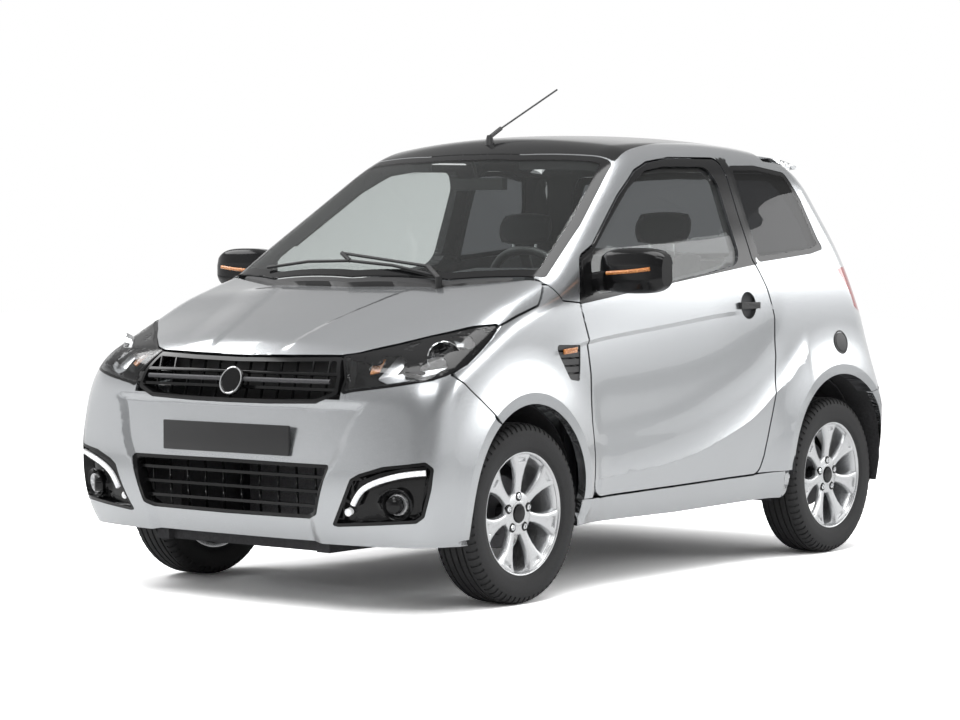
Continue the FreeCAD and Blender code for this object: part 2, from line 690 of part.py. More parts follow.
def bonnet():
    """The lid over the motor, with an ear round each hinge pin."""
    skin = slab(across, (0.205 * length, 0.4775 * length), (8.0, 172.0), 0, bonnet_wall, bonnet_z)
    lid = skin.common(top_punch(grown(bonnet_outline, -fit_gap), small_corner))
    around = [nose_punch(grown(upper_grille_outline, shut_gap), small_corner)]
    for flip in (lambda s: s, mirrored):
        around.append(flip(side_punch(grown(in_side(below_bonnet_shares), shut_gap - seam_gap), small_corner)))
        around.append(flip(corner_punch(corner_view, grown(headlamp_outline, shut_gap), small_corner)))
    around.append(wiper_hole(wiper_pivot_radius + 1.7 * shut_gap))
    lid = lid.cut(around)
    ears = []
    for side in (1, -1):
        low_y = side * bonnet_hinge_y - bonnet_ear / 4
        eye = disc((bonnet_hinge_x, low_y, bonnet_hinge_z), 2.2 * hinge_pin_radius, bonnet_ear / 2, (0, 1, 0))
        arm = box((bonnet_hinge_x, low_y, bonnet_hinge_z - bonnet_wall),
                  (bonnet_hinge_x + 4 * bonnet_ear, low_y + bonnet_ear / 2, bonnet_hinge_z - hinge_pin_radius))
        hole = disc((bonnet_hinge_x, low_y - bonnet_ear, bonnet_hinge_z), hinge_pin_radius + pin_clearance,
                    bonnet_ear * 3, (0, 1, 0))
        ears.append(eye.fuse(arm).cut(hole))
    return lid.fuse(ears)


def roof_panel():
    skin = slab(across, (-0.310 * length, 0.070 * length), (44.0, 136.0), 0, roof_wall)
    return skin.common(top_punch(grown(roof_outline, -fit_gap / 2), small_corner))


def windscreen():
    skin = slab(across, (0.020 * length, 0.300 * length), (20.0, 160.0), 0, glass_wall, cabin_z)
    pane = skin.common(top_punch(grown(screen_outline, -fit_gap / 2), small_corner * 2))
    return pane.cut(wiper_hole(wiper_pivot_radius + fit_gap))


wiper_pivot_radius = 11.0
wiper_pivot_x = 0.2800 * length
wiper_pivot_y = 0.465 * half_width


def wiper_hole(radius):
    """Upright hole round the wiper's pivot."""
    return disc((wiper_pivot_x, wiper_pivot_y, 0.5 * height), radius, 0.5 * height, (0, 0, 1))


def scuttle():
    """Black strip between the bonnet's rear edge and the windscreen."""
    skin = slab(across, (0.200 * length, 0.310 * length), (20.0, 160.0), glass_wall, 2 * roof_wall, cabin_z)
    strip = skin.common(top_punch(grown(scuttle_outline, -shut_gap / 2), fit_gap))
    lid = slab(across, (0.195 * length, 0.320 * length), (20.0, 160.0), -overrun, bonnet_wall + 1.5 * shut_gap, bonnet_z)
    strip = strip.cut(lid.common(top_punch(grown(bonnet_outline, 1.5 * shut_gap), small_corner)))
    for side in (1, -1):
        low_y, high_y = sorted((side * (bonnet_hinge_y - 3.5 * bonnet_ear), side * width))
        strip = strip.cut(box((0, low_y, 0), (length, high_y, height)))
    return strip.cut(wiper_hole(wiper_pivot_radius + fit_gap))


def quarter_window():
    skin = slab(across, (-0.380 * length, -0.180 * length), (20.0, 75.0), 1.0, glass_wall + 1.0)
    return skin.common(side_punch(quarter_outline, small_corner * 2))


# Doors
window_frame_wall = 36.0
handle_x = -466.0
handle_z = 884.0
handle_well_radius = 46.0
handle_well_depth = 12.0
handle_length = 118.0
handle_height = 22.0


def door():
    """Door with its window opening, thin along the hinge edge."""
    span = (-0.240 * length, 0.190 * length)
    angles = (side_low_degrees, 78.0)
    panel = slab(across, span, angles, 0, door_wall)
    panel = panel.common(side_punch(door_outline, soft_corner))
    panel = panel.cut(side_punch(door_glass_outline, soft_corner))
    inner_front = slab(across, (hinge_x - 2 * hinge_arm, span[1]), angles, door_edge_wall, door_wall + overrun)
    inner_top = slab(across, span, (10.0, 78.0), window_frame_wall, door_wall + overrun)
    waist = box((-length, 0, 0.715 * height), (length, width, height))
    panel = panel.cut(inner_front).cut(inner_top.common(waist))
    for z in (hinge_low_z, hinge_high_z):
        middle = hinge_low + hinge_way * ((z - hinge_low_z) / hinge_way.z)
        well = box((hinge_x - 2 * hinge_arm, post_y, z - hinge_height * 0.6),
                   (hinge_x + 4 * hinge_arm, middle.y + hinge_pin_radius + 2, z + hinge_height * 0.6))
        panel = panel.cut(well).cut(hinge_pin(z, hinge_pin_radius + pin_clearance, hinge_height + 2))
    skin_y = side_y(handle_x, handle_z)
    panel = panel.cut(disc((handle_x, skin_y - handle_well_depth, handle_z), handle_well_radius, overrun, (0, 1, 0)))
    grip = box((handle_x - handle_length / 2, skin_y - 2, handle_z - handle_height / 2),
               (handle_x + handle_length / 2, skin_y + handle_height / 2, handle_z + handle_height / 2))
    root = box((handle_x - handle_length / 2, skin_y - handle_height, handle_z - handle_height / 2),
               (handle_x - handle_length / 2 + handle_height, skin_y, handle_z + handle_height / 2))
    bridge = box((handle_x + handle_length / 2 - handle_height, skin_y - handle_height, handle_z - handle_height / 2),
                 (handle_x + handle_length / 2, skin_y, handle_z + handle_height / 2))
    return panel.fuse([grip, root, bridge])


def door_glass():
    skin = slab(across, (-0.180 * length, 0.170 * length), (10.0, 78.0), 7.0, 7.0 + glass_wall)
    return skin.common(side_punch(grown(door_glass_outline, -fit_gap), soft_corner))


# Door mirror: an upright oval shell that tapers outward, on a foot
mirror_x = 380.0
mirror_z = 1006.0
mirror_root_y = 700.0
mirror_tip_y = 935.0
mirror_thick = 92.0
mirror_high = 142.0


def oval(centre, thick, high):
    """Upright rounded section across a mirror or headrest, in a plane of constant Y."""
    points = [(centre.x + thick / 2 * a, centre.z + high / 2 * b)
              for a, b in ((1, 0.25), (0.7, 1), (-0.8, 1), (-1, 0.6), (-1, -0.8), (-0.6, -1), (0.6, -1), (1, -0.5))]
    wire = rounded_wire(side_view, points, thick / 3)
    wire.translate(Vector(0, centre.y, 0))
    return wire


def door_mirror():
    span = mirror_tip_y - mirror_root_y
    stations = ((0.0, 0.55, 0.70), (0.18, 0.85, 0.94), (0.55, 1.0, 1.0), (0.86, 0.92, 0.90), (1.0, 0.62, 0.66))
    wires = [oval(Vector(mirror_x, mirror_root_y + span * a, mirror_z), mirror_thick * b, mirror_high * c)
             for a, b, c in stations]
    head = Part.makeLoft(wires, True, False)
    foot = slab(across, (0.135 * length, 0.172 * length), (10.0, 50.0), -4.0, 1.0)
    foot = foot.common(side_punch(grown(in_side(sail_shares), -2.0), small_corner))
    foot.translate(Vector(0, 1.0 + fit_gap, 0))
    arm = Part.makeLoft([oval(Vector(mirror_x + mirror_thick / 3, mirror_root_y - 58, mirror_z - 38), 46, 52),
                         oval(Vector(mirror_x + mirror_thick / 6, mirror_root_y + 24, mirror_z - 30), 60, 66)], True, True)
    keep = slab(across, (0.120 * length, 0.185 * length), (0.0, 50.0), -3 * overrun, -1.5)
    return head.fuse([foot, arm.common(keep)])


sail_shares = [(0.1775, 0.635), (0.1765, 0.646), (0.170, 0.688), (0.1625, 0.708), (0.135, 0.730),
               (0.150, 0.700), (0.157, 0.645), (0.155, 0.630)]

# Tailgate with its spoiler lip
hatch_hinge_x = -0.294 * length
hatch_hinge_z = roof_line(hatch_hinge_x) + 2.0
hatch_hinge_y = 300.0
spoiler_front_x = -0.345 * length
spoiler_tip_x = -0.386 * length
spoiler_half = 0.690 * half_width
spoiler_tip_wall = 9.0
spoiler_root_wall = 44.0


def spoiler():
    upper, lower = [], []
    for x in spread(spoiler_tip_x, spoiler_front_x, grid_pitch / 2):
        back = (x - spoiler_tip_x) / (spoiler_front_x - spoiler_tip_x)
        wall = spoiler_tip_wall + (spoiler_root_wall - spoiler_tip_wall) * back
        row = [Vector(x, y, roof_line(x) - roof_camber * (y / half_width) ** 2 - 1)
               for y in spread(-spoiler_half, spoiler_half, 2 * grid_pitch)]
        upper.append(row)
        lower.append([point - Vector(0, 0, wall) for point in row])
    return closed_between(upper, lower)


def tailgate():
    skin = slab(astern, (-60.0, 60.0), (0.400 * height, 0.950 * height), 0, tailgate_wall)
    gate = skin.common(tail_zone(-swing_room))
    gate = gate.cut(tail_punch(tailgate_glass_outline, soft_corner))
    gate = gate.fuse(spoiler())
    ears = []
    for y in (hatch_hinge_y, -hatch_hinge_y):
        eye = disc((hatch_hinge_x, y - hinge_arm, hatch_hinge_z), 2.2 * hinge_pin_radius, 2 * hinge_arm, (0, 1, 0))
        leaf = box((hatch_hinge_x - 5 * hinge_arm, y - hinge_arm, hatch_hinge_z - 3 * hinge_arm),
                   (hatch_hinge_x - 1, y + hinge_arm, hatch_hinge_z + 2))
        eye = eye.fuse(leaf)
        ears.append(eye.cut(disc((hatch_hinge_x, y - 2 * hinge_arm, hatch_hinge_z), hinge_pin_radius + pin_clearance,
                                 4 * hinge_arm, (0, 1, 0))))
    gate = gate.fuse(ears)
    return gate


def tailgate_glass():
    skin = slab(over_tail, (-0.80 * half_width, 0.80 * half_width), (-15.0, 60.0), 3.0, 3.0 + glass_wall)
    return skin.common(tail_punch(grown(tailgate_glass_outline, -fit_gap), soft_corner))


def tailgate_hinges():
    """Pins on the roof's rear edge."""
    parts = []
    for y in (hatch_hinge_y, -hatch_hinge_y):
        pin = disc((hatch_hinge_x, y - 2.5 * hinge_arm, hatch_hinge_z), hinge_pin_radius, 5 * hinge_arm, (0, 1, 0))
        blocks = [box((hatch_hinge_x - hinge_pin_radius, y + k - hinge_arm / 2, hatch_hinge_z - 3 * hinge_arm),
                      (hatch_hinge_x + 4 * hinge_arm, y + k + hinge_arm / 2, hatch_hinge_z + hinge_pin_radius))
                  for k in (-2 * hinge_arm, 2 * hinge_arm)]
        parts.append(pin.fuse(blocks))
    return parts


# Lamps
def lens(family, first, second, outline, view, outer, inner):
    return slab(family, first, second, outer, inner).common(corner_punch(view, outline, small_corner))


lamp_depth = 90.0
lamp_wall = 10.0
lamp_angles = (22.0, 72.0)


def headlamp_lens():
    return lens(ahead, (15.0, 78.0), (0.430 * height, 0.590 * height), grown(headlamp_outline, -fit_gap),
                corner_view, 0, lens_wall)


def headlamp():
    """Lamp bowl behind the lens, with a round reflector."""
    body = lens(ahead, (15.0, 78.0), (0.430 * height, 0.590 * height), grown(headlamp_outline, -fit_gap),
                corner_view, lens_wall + fit_gap, lamp_depth)
    hollow = lens(ahead, (15.0, 78.0), (0.430 * height, 0.590 * height), grown(headlamp_outline, -lamp_wall),
                  corner_view, 0, lamp_depth - lamp_wall)
    middle = Vector(0.4165 * length, 0.850 * half_width, 0.516 * height)
    way = corner_view.along
    cup = Part.makeCone(reflector_radius / 2, reflector_radius, reflector_depth,
                        middle - way * (reflector_depth + 2 * lamp_wall), way)
    bowl = Part.makeCone(reflector_radius / 2 - 3, reflector_radius - 3, reflector_depth,
                         middle - way * (reflector_depth + 2 * lamp_wall - 3), way)
    stem = Part.makeCylinder(lamp_wall, lamp_depth, middle - way * (lamp_depth + 4 * lamp_wall), way)
    inside = lens(ahead, (15.0, 78.0), (0.430 * height, 0.590 * height), grown(headlamp_outline, -lamp_wall / 2),
                  corner_view, 2 * lens_wall, lamp_depth)
    lamp = body.cut(hollow).fuse(cup.cut(bowl).fuse(stem).common(inside))
    return lamp.cut(nose_punch(grown(upper_grille_outline, fit_gap), small_corner))


reflector_radius = 44.0
reflector_depth = 46.0


def tail_lamp():
    body = lens(astern, (8.0, 89.0), (0.530 * height, 0.720 * height), tail_lamp_outline,
                rear_corner_view, 0, frame_wall)
    return body.cut(tail_zone(shut_gap))


# Bumpers and sills
tyre_gap = 14.0


def front_bumper():
    skin = slab(ahead, (-80.0, 80.0), (0.140 * height, 0.500 * height), 0, bumper_wall)
    lip = arch_lip(front_axle_x, front_arch_z).common(box((front_axle_x + 2 * overrun, 0, 0), (length, width, height)))
    skin = skin.fuse([lip, mirrored(lip)])
    for flip in (lambda s: s, mirrored):
        skin = skin.cut(flip(corner_punch(corner_view, grown(headlamp_outline, fit_gap), small_corner)))
        skin = skin.cut(flip(corner_punch(corner_view, in_corner(corner_view, behind_bumper_shares), small_corner)))
        skin = skin.cut(flip(corner_punch(corner_view, fog_outline, small_corner)))
        skin = skin.cut(flip(side_punch(grown(wing_outline, seam_gap), small_corner)))
        skin = skin.cut(flip(arch_hole(front_axle_x, front_arch_z, arch_radius)))
    skin = skin.cut(nose_punch(grown(upper_grille_outline, fit_gap), small_corner))
    skin = skin.cut(nose_punch(lower_grille_outline, small_corner))
    skin = skin.cut(box((0, -width, 0), (front_axle_x + arch_radius / 2, width, height)))
    top = box((0, -0.56 * half_width, 0.430 * height), (length, 0.56 * half_width, height))
    return skin.cut(top)


def rear_bumper():
    skin = slab(astern, (-82.0, 82.0), (0.140 * height, 0.425 * height), 0, bumper_wall * 2)
    lip = arch_lip(rear_axle_x, rear_arch_z)
    skin = skin.fuse([lip, mirrored(lip)]).common(bumper_zone(0))
    for flip in (lambda s: s, mirrored):
        skin = skin.cut(flip(arch_hole(rear_axle_x, rear_arch_z, arch_radius)))
        skin = skin.cut(flip(arch_hole(rear_axle_x, axle_z, tyre_radius + tyre_gap)))
    return skin.cut(tail_zone(shut_gap))


def sill():
    skin = slab(across, (-0.270 * length, 0.200 * length), (side_low_degrees, -5.0), 0, sill_wall)
    strip = skin.common(side_punch(in_side(sill_shares), small_corner))
    strip = strip.cut(side_punch(grown(door_outline, shut_gap), soft_corner))
    strip = strip.cut(arch_hole(front_axle_x, axle_z, tyre_radius + 2 * tyre_gap))
    strip = strip.cut(arch_hole(front_axle_x, front_arch_z, arch_radius))
    return strip.cut(arch_hole(rear_axle_x, rear_arch_z, arch_radius))


# Grilles: a frame, bars across and thin uprights behind them
grille_depth = 26.0
grille_rim = 12.0
bar_height = 9.0
upright = 5.0
upper_bars = 2
upper_uprights = 12
lower_bars = 3
lower_uprights = 10


def grille(outline, low, high, bars, uprights, lean):
    """Rim that follows the bumper, with a flat lattice of bars and uprights inside it."""
    zone = slab(ahead, grille_angles, (low, high), 2.0, 2 * grille_depth)
    rim = zone.common(nose_punch(grown(outline, -fit_gap), small_corner))
    rim = rim.cut(nose_punch(grown(outline, -grille_rim), small_corner))
    left = min(a for a, _ in outline)
    right = max(a for a, _ in outline)
    bottom = min(b for _, b in outline)
    top = max(b for _, b in outline)
    lattice = []
    front_x = nose_line(bottom) - grille_set_back
    for i in range(1, bars + 1):
        z = bottom + (top - bottom) * i / (bars + 1)
        lattice.append(box((front_x - grille_depth / 2, left, z - bar_height / 2), (front_x, right, z + bar_height / 2)))
    for i in range(1, uprights + 1):
        y = left + (right - left) * i / (uprights + 1)
        lattice.append(box((front_x - grille_depth / 2, y - upright / 2, bottom - overrun),
                           (front_x - grille_depth / 4, y + upright / 2, top + overrun)))
    plate = lattice[0].fuse(lattice[1:])
    plate.rotate(Vector(front_x, 0, bottom), Vector(0, 1, 0), -lean)
    plate = plate.common(nose_punch(grown(outline, -grille_rim - fit_gap), small_corner))
    return Part.makeCompound([rim, plate])


grille_angles = (-34.0, 34.0)
grille_set_back = 26.0


def upper_grille():
    return grille(upper_grille_outline, 0.400 * height, 0.530 * height, upper_bars, upper_uprights, 15.0)


def lower_grille():
    return grille(lower_grille_outline, 0.160 * height, 0.330 * height, lower_bars, lower_uprights, -3.0)


fog_depth = 42.0
fog_lamp_radius = 26.0


def fog_lamp():
    """Black recess with a round lamp in it."""
    tray = slab(ahead, (20.0, 80.0), (0.150 * height, 0.330 * height), 1.0, fog_depth)
    tray = tray.common(corner_punch(corner_view, grown(fog_outline, -fit_gap), small_corner))
    dish = slab(ahead, (20.0, 80.0), (0.150 * height, 0.330 * height), -overrun, fog_depth - lamp_wall)
    dish = dish.common(corner_punch(corner_view, grown(fog_outline, -lamp_wall), small_corner))
    middle = Vector(0.476 * length, 0.826 * half_width, 0.226 * height)
    barrel = Part.makeCylinder(fog_lamp_radius, fog_depth, middle - corner_view.along * (fog_depth + 4), corner_view.along)
    return tray.cut(dish).fuse(barrel)


# Wheels
rim_radius = 189.0
bead_radius = 178.0
barrel_inner = 166.0
spoke_count = 7
spoke_thick = 22.0
hub_radius = 46.0
hub_bore = 14.0
disc_radius = 112.0
disc_thick = 12.0


def closed_profile(points):
    """Face from points that give width along the axle and radius."""
    corners = [Vector(0, a, b) for a, b in points]
    return Part.Face(Part.makePolygon(corners + corners[:1]))


def turned(face):
    return face.revolve(Vector(0, 0, 0), Vector(0, 1, 0), 360)


# Corners of the tyre's section: share of its half width, share of the way from bead to tread
tyre_profile = ((0.74, 0.0), (0.745, 0.125), (0.93, 0.26), (1.0, 0.52), (0.985, 0.74), (0.91, 0.90), (0.72, 1.0))
tyre_sides = 52


def tyre():
    """Tyre of flat facets, which keeps its mesh light."""
    half = tyre_width / 2
    inner = (bead_radius + fit_gap) / math.cos(math.pi / tyre_sides)
    corners = [(half * a, inner + (tyre_radius - inner) * b) for a, b in tyre_profile]
    corners += [(-a, b) for a, b in reversed(corners)]
    turns = [2 * math.pi * i / tyre_sides for i in range(tyre_sides)]
    rows = [[Vector(r * math.cos(t), a, r * math.sin(t)) for a, r in corners] for t in turns]
    faces = []
    for i in range(tyre_sides):
        near, far = rows[i - 1], rows[i]
        for j in range(len(corners)):
            faces.append(Part.Face(Part.makePolygon([near[j - 1], near[j], far[j], far[j - 1], near[j - 1]])))
    return solid_from(faces)


def spoke_outline(turn):
    """One forked spoke seen along the axle."""
    half_pitch = math.pi / spoke_count
    fork = (hub_radius + barrel_inner) * 0.52
    polar = [(hub_radius * 0.8, -0.52), (fork, -0.24), (barrel_inner + 3, -0.62), (barrel_inner + 3, -0.26),
             (fork * 1.12, 0.0), (barrel_inner + 3, 0.26), (barrel_inner + 3, 0.62), (fork, 0.24),
             (hub_radius * 0.8, 0.52)]
    return [(r * math.cos(turn + half_pitch * s), r * math.sin(turn + half_pitch * s)) for r, s in polar]


def rim():
    """Alloy wheel: turned barrel, hub, forked spokes and the brake disc behind them."""
    half = tyre_width / 2
    lip_y = half * 0.86
    spoke_y = half * 0.40
    wheel = turned(closed_profile([
        (-lip_y, barrel_inner), (-lip_y, rim_radius), (-lip_y + 6, rim_radius), (-lip_y + 8, bead_radius),
        (-half * 0.3, bead_radius), (-half * 0.2, barrel_inner + 5), (half * 0.2, barrel_inner + 5),
        (half * 0.3, bead_radius), (lip_y - 8, bead_radius), (lip_y - 6, rim_radius), (lip_y, rim_radius),
        (lip_y, barrel_inner + 10), (spoke_y + spoke_thick, barrel_inner), (-lip_y + 1, barrel_inner)]))
    pieces = []
    for i in range(spoke_count):
        points = spoke_outline(2 * math.pi * i / spoke_count)
        pieces.append(punch(side_view, points, small_corner / 2, spoke_y, spoke_y + spoke_thick))
    pieces.append(disc((0, spoke_y - spoke_thick, 0), hub_radius, 2 * spoke_thick, (0, 1, 0)))
    rotor_y = -half * 0.38
    pieces.append(disc((0, rotor_y, 0), disc_radius, disc_thick, (0, 1, 0)))
    pieces.append(disc((0, rotor_y, 0), hub_radius * 0.8, spoke_y - rotor_y, (0, 1, 0)))
    wheel = wheel.fuse(pieces)
    return wheel.cut(disc((0, rotor_y - 1, 0), hub_bore + pin_clearance, spoke_y - rotor_y, (0, 1, 0)))


def place_wheel(shape, x, side):
    placed = shape.copy()
    if side < 0:
        placed = placed.mirror(Vector(0, 0, 0), Vector(0, 1, 0))
    placed.translate(Vector(x, side * wheel_middle_y, axle_z))
    return placed


# Steering knuckles: post on the steering axis, stub axle and brake caliper
kingpin_y = 556.0
knuckle_radius = 15.0
knuckle_low_z = 190.0
knuckle_high_z = 360.0


def knuckle():
    post = rod((front_axle_x, kingpin_y, knuckle_low_z), (front_axle_x, kingpin_y, knuckle_high_z), knuckle_radius)
    rotor_y = wheel_middle_y - tyre_width * 0.19
    stub = rod((front_axle_x, kingpin_y, axle_z), (front_axle_x, rotor_y + 2 * disc_thick, axle_z), hub_bore)
    flange = rod((front_axle_x, kingpin_y, axle_z), (front_axle_x, rotor_y - disc_thick, axle_z), 2.6 * hub_bore)
    caliper = box((front_axle_x - disc_radius - disc_thick, rotor_y - 2 * disc_thick, axle_z - hub_radius),
                  (front_axle_x - disc_radius * 0.66, rotor_y + 2.4 * disc_thick, axle_z + hub_radius))
    slot = rod((front_axle_x, rotor_y - disc_thick / 2, axle_z), (front_axle_x, rotor_y + 1.5 * disc_thick, axle_z),
               disc_radius + disc_thick / 2)
    arm = box((front_axle_x - disc_radius * 0.8, kingpin_y - knuckle_radius / 2, axle_z - knuckle_radius),
              (front_axle_x, rotor_y - disc_thick, axle_z + knuckle_radius))
    steer_arm = box((front_axle_x - disc_radius, kingpin_y - knuckle_radius, knuckle_low_z + knuckle_radius),
                    (front_axle_x, kingpin_y, knuckle_low_z + 2 * knuckle_radius))
    return post.fuse([stub, flange, caliper.cut(slot), arm, steer_arm])


# Underbody
rail_y = 330.0
rail_side = 50.0
subframe_z = 200.0
liner_radius = 340.0
liner_wall = 5.0
liner_inner_y = 400.0
tower_z = 640.0


def front_frame():
    """Two rails, a crossmember, lower arms and struts that carry the knuckles."""
    pieces = []
    for side in (1, -1):
        y = side * rail_y
        rail = box((0.175 * length, y - rail_side / 2, floor_z - rail_side), (0.470 * length, y + rail_side / 2, floor_z))
        pieces.append(rail)
        arm_end = Vector(front_axle_x, side * kingpin_y, knuckle_low_z - fit_gap - knuckle_radius)
        pieces.append(rod(tuple(arm_end), (front_axle_x, side * kingpin_y, knuckle_low_z - fit_gap), knuckle_radius * 1.2))
        for x in (front_axle_x - 2.5 * rail_side, front_axle_x + 1.5 * rail_side):
            pieces.append(rod((x, y, arm_end.z), (front_axle_x, side * kingpin_y, arm_end.z), knuckle_radius * 0.7))
        strut_y = side * (kingpin_y - 3.4 * knuckle_radius)
        pieces.append(rod((front_axle_x, strut_y, knuckle_high_z + fit_gap), (front_axle_x, strut_y, tower_z), knuckle_radius))
        pieces.append(rod((front_axle_x, strut_y, knuckle_high_z + 3 * knuckle_radius), (front_axle_x, strut_y, tower_z - knuckle_radius),
                          knuckle_radius * 1.9))
        low_y, high_y = sorted((strut_y, side * (kingpin_y + knuckle_radius)))
        pieces.append(box((front_axle_x - knuckle_radius, low_y, knuckle_high_z + fit_gap),
                          (front_axle_x + knuckle_radius, high_y, knuckle_high_z + fit_gap + knuckle_radius)))
        low_y, high_y = sorted((y, strut_y))
        pieces.append(box((front_axle_x - rail_side, low_y - rail_side / 2, tower_z - knuckle_radius),
                          (front_axle_x + rail_side, high_y + rail_side / 2, tower_z)))
        pieces.append(box((front_axle_x - rail_side / 2, y - rail_side / 2, floor_z), (front_axle_x + rail_side / 2, y + rail_side / 2, tower_z)))
    for x in (front_axle_x - 2.5 * rail_side, front_axle_x + 1.5 * rail_side, 0.452 * length):
        pieces.append(box((x - rail_side / 2, -rail_y, floor_z - rail_side), (x + rail_side / 2, rail_y, floor_z)))
    frame = pieces[0].fuse(pieces[1:])
    return frame


def rear_axle():
    """Twist beam with trailing arms, springs and the stub axles."""
    rotor_y = wheel_middle_y - tyre_width * 0.19
    beam = rod((rear_axle_x, -rotor_y + disc_thick, axle_z), (rear_axle_x, rotor_y - disc_thick, axle_z), 26)
    pieces = [rod((rear_axle_x, -rotor_y - 2 * disc_thick, axle_z), (rear_axle_x, rotor_y + 2 * disc_thick, axle_z), hub_bore)]
    for side in (1, -1):
        y = side * rail_y * 0.98
        pieces.append(rod((rear_axle_x, y, axle_z), (rear_axle_x + 8 * rail_side, y, floor_z - 16 - fit_gap), 16))
        pieces.append(rod((rear_axle_x, y, axle_z), (rear_axle_x, y, rear_floor_z - fit_gap), 38))
    return beam.fuse(pieces)


rear_floor_z = 420.0
bulkhead_x = 610.0
heel_x = -0.215 * length
boot_back_x = -0.462 * length
cabin_half = 600.0


def floor_pan():
    """Floor, bulkhead and boot floor folded from one sheet, closed round the wheels."""
    inner = [(bulkhead_x, 0.600 * height), (bulkhead_x, floor_z + 3 * floor_wall), (bulkhead_x - 3 * floor_wall, floor_z),
             (heel_x, floor_z), (heel_x - 3 * floor_wall, rear_floor_z), (boot_back_x, rear_floor_z)]
    shell_points = inner + list(reversed(offset_line(inner, -floor_wall)))
    pan = punch(side_view, shell_points, fit_gap, -cabin_half, cabin_half)
    drums = []
    for x, z, radius, outer_y in ((front_axle_x, axle_z, liner_radius, front_liner_y),
                                  (rear_axle_x, rear_arch_z - floor_wall, arch_radius + 4, rear_liner_y)):
        for side in (1, -1):
            way = (0, side, 0)
            hole = disc((x, side * liner_inner_y, z), radius, width, way)
            pan = pan.cut(hole)
            drum = disc((x, side * (liner_inner_y - liner_wall), z), radius + liner_wall,
                        outer_y - liner_inner_y + liner_wall, way)
            drum = drum.cut(hole)
            drum = drum.common(box((rear_liner_end_x, -width, floor_z - 2 * floor_wall), (length, width, height)))
            drums.append(drum)
    return pan.fuse(drums).cut([front_frame(), rear_axle()])


front_liner_y = 640.0
rear_liner_y = 620.0
rear_liner_end_x = -1275.0


def offset_line(points, gap):
    """Open line moved to its left by gap."""
    moved = []
    for i, here in enumerate(points):
        before = points[i - 1] if i else None
        after = points[i + 1] if i + 1 < len(points) else None
        normals = []
        for a, b in ((before, here), (here, after)):
            if a is None or b is None:
                continue
            size = math.hypot(b[0] - a[0], b[1] - a[1])
            normals.append(((b[1] - a[1]) / size, -(b[0] - a[0]) / size))
        if len(normals) == 1:
            n = normals[0]
            moved.append((here[0] + gap * n[0], here[1] + gap * n[1]))
        else:
            one, two = normals
            spread_out = 1 + one[0] * two[0] + one[1] * two[1]
            moved.append((here[0] + gap * (one[0] + two[0]) / spread_out, here[1] + gap * (one[1] + two[1]) / spread_out))
    return moved


def motor():
    return box((front_axle_x - 3.4 * rail_side, -rail_y + rail_side, floor_z + fit_gap),
               (front_axle_x + 3.0 * rail_side, rail_y - rail_side, floor_z + 5.6 * rail_side))


def battery():
    return box((heel_x + floor_wall, -rail_y, floor_z + floor_wall + fit_gap),
               (heel_x + 11 * rail_side, rail_y, floor_z + floor_wall + 2.8 * rail_side))


# Cabin
seat_y = 300.0
seat_half = 225.0
seat_front_x = 60.0
seat_back_x = -430.0
seat_top_z = 545.0
seat_low_z = 390.0


def seat():
    """Cushion, backrest and headrest in one upholstered shape."""
    profile = [(seat_front_x, seat_low_z), (seat_front_x + 15, seat_top_z - 20), (seat_front_x - 60, seat_top_z),
               (seat_back_x + 70, seat_top_z - 45), (seat_back_x - 60, 0.700 * height), (seat_back_x - 90, 0.745 * height),
               (seat_back_x - 90, 0.820 * height), (seat_back_x - 170, 0.820 * height),
               (seat_back_x - 180, 0.745 * height), (seat_back_x - 160, 0.700 * height), (seat_back_x - 50, seat_low_z)]
    body = punch(side_view, profile, 36.0, seat_y - seat_half, seat_y + seat_half)
    neck = [(seat_y - 70, 0.735 * height), (seat_y - 125, 0.765 * height), (seat_y - 125, 0.830 * height),
            (seat_y + 125, 0.830 * height), (seat_y + 125, 0.765 * height), (seat_y + 70, 0.735 * height),
            (seat_y + seat_half - 30, 0.700 * height), (seat_y + seat_half + 1, seat_top_z), (seat_y + seat_half + 1, 0),
            (seat_y - seat_half - 1, 0), (seat_y - seat_half - 1, seat_top_z), (seat_y - seat_half + 30, 0.700 * height)]
    return body.common(punch(front_view, neck, 30.0, -length, length))


def seat_base():
    return box((seat_back_x - 20, seat_y - seat_half + 40, floor_z + floor_wall + 2.8 * rail_side + fit_gap),
               (seat_front_x - 60, seat_y + seat_half - 40, seat_low_z - fit_gap))


def dashboard():
    """Dashboard with a hooded binnacle and the steering column."""
    profile = [(bulkhead_x - fit_gap, 0.640 * height), (bulkhead_x - fit_gap, 0.500 * height), (0.150 * length, 0.470 * height),
               (0.115 * length, 0.560 * height), (0.110 * length, 0.640 * height), (0.140 * length, 0.665 * height),
               (0.190 * length, 0.650 * height)]
    body = punch(side_view, profile, 20.0, -post_y + 10, post_y - 10)
    hood = punch(side_view, [(0.112 * length, 0.630 * height), (0.112 * length, 0.690 * height),
                             (0.165 * length, 0.680 * height), (0.175 * length, 0.640 * height)], 14.0,
                 seat_y - 150, seat_y + 150)
    column = rod(tuple(wheel_hub + column_way * 24), tuple(wheel_hub + column_way * 150), 26)
    return body.fuse([hood, column])


column_degrees = 26.0
column_way = Vector(math.cos(math.radians(column_degrees)), 0, -math.sin(math.radians(column_degrees)))
wheel_hub = Vector(0.072 * length, seat_y, 0.622 * height)
steering_radius = 175.0
steering_tube = 14.0


def tube_ring(centre, way, radius, tube):
    """Ring with an eight-sided tube."""
    out = Vector(0, 1, 0)
    corners = []
    for i in range(ring_sides):
        turn = 2 * math.pi * (i + 0.5) / ring_sides
        corners.append(centre + out * (radius + tube * math.cos(turn)) + way * (tube * math.sin(turn)))
    face = Part.Face(Part.makePolygon(corners + corners[:1]))
    return face.revolve(centre, way, 360)


ring_sides = 8


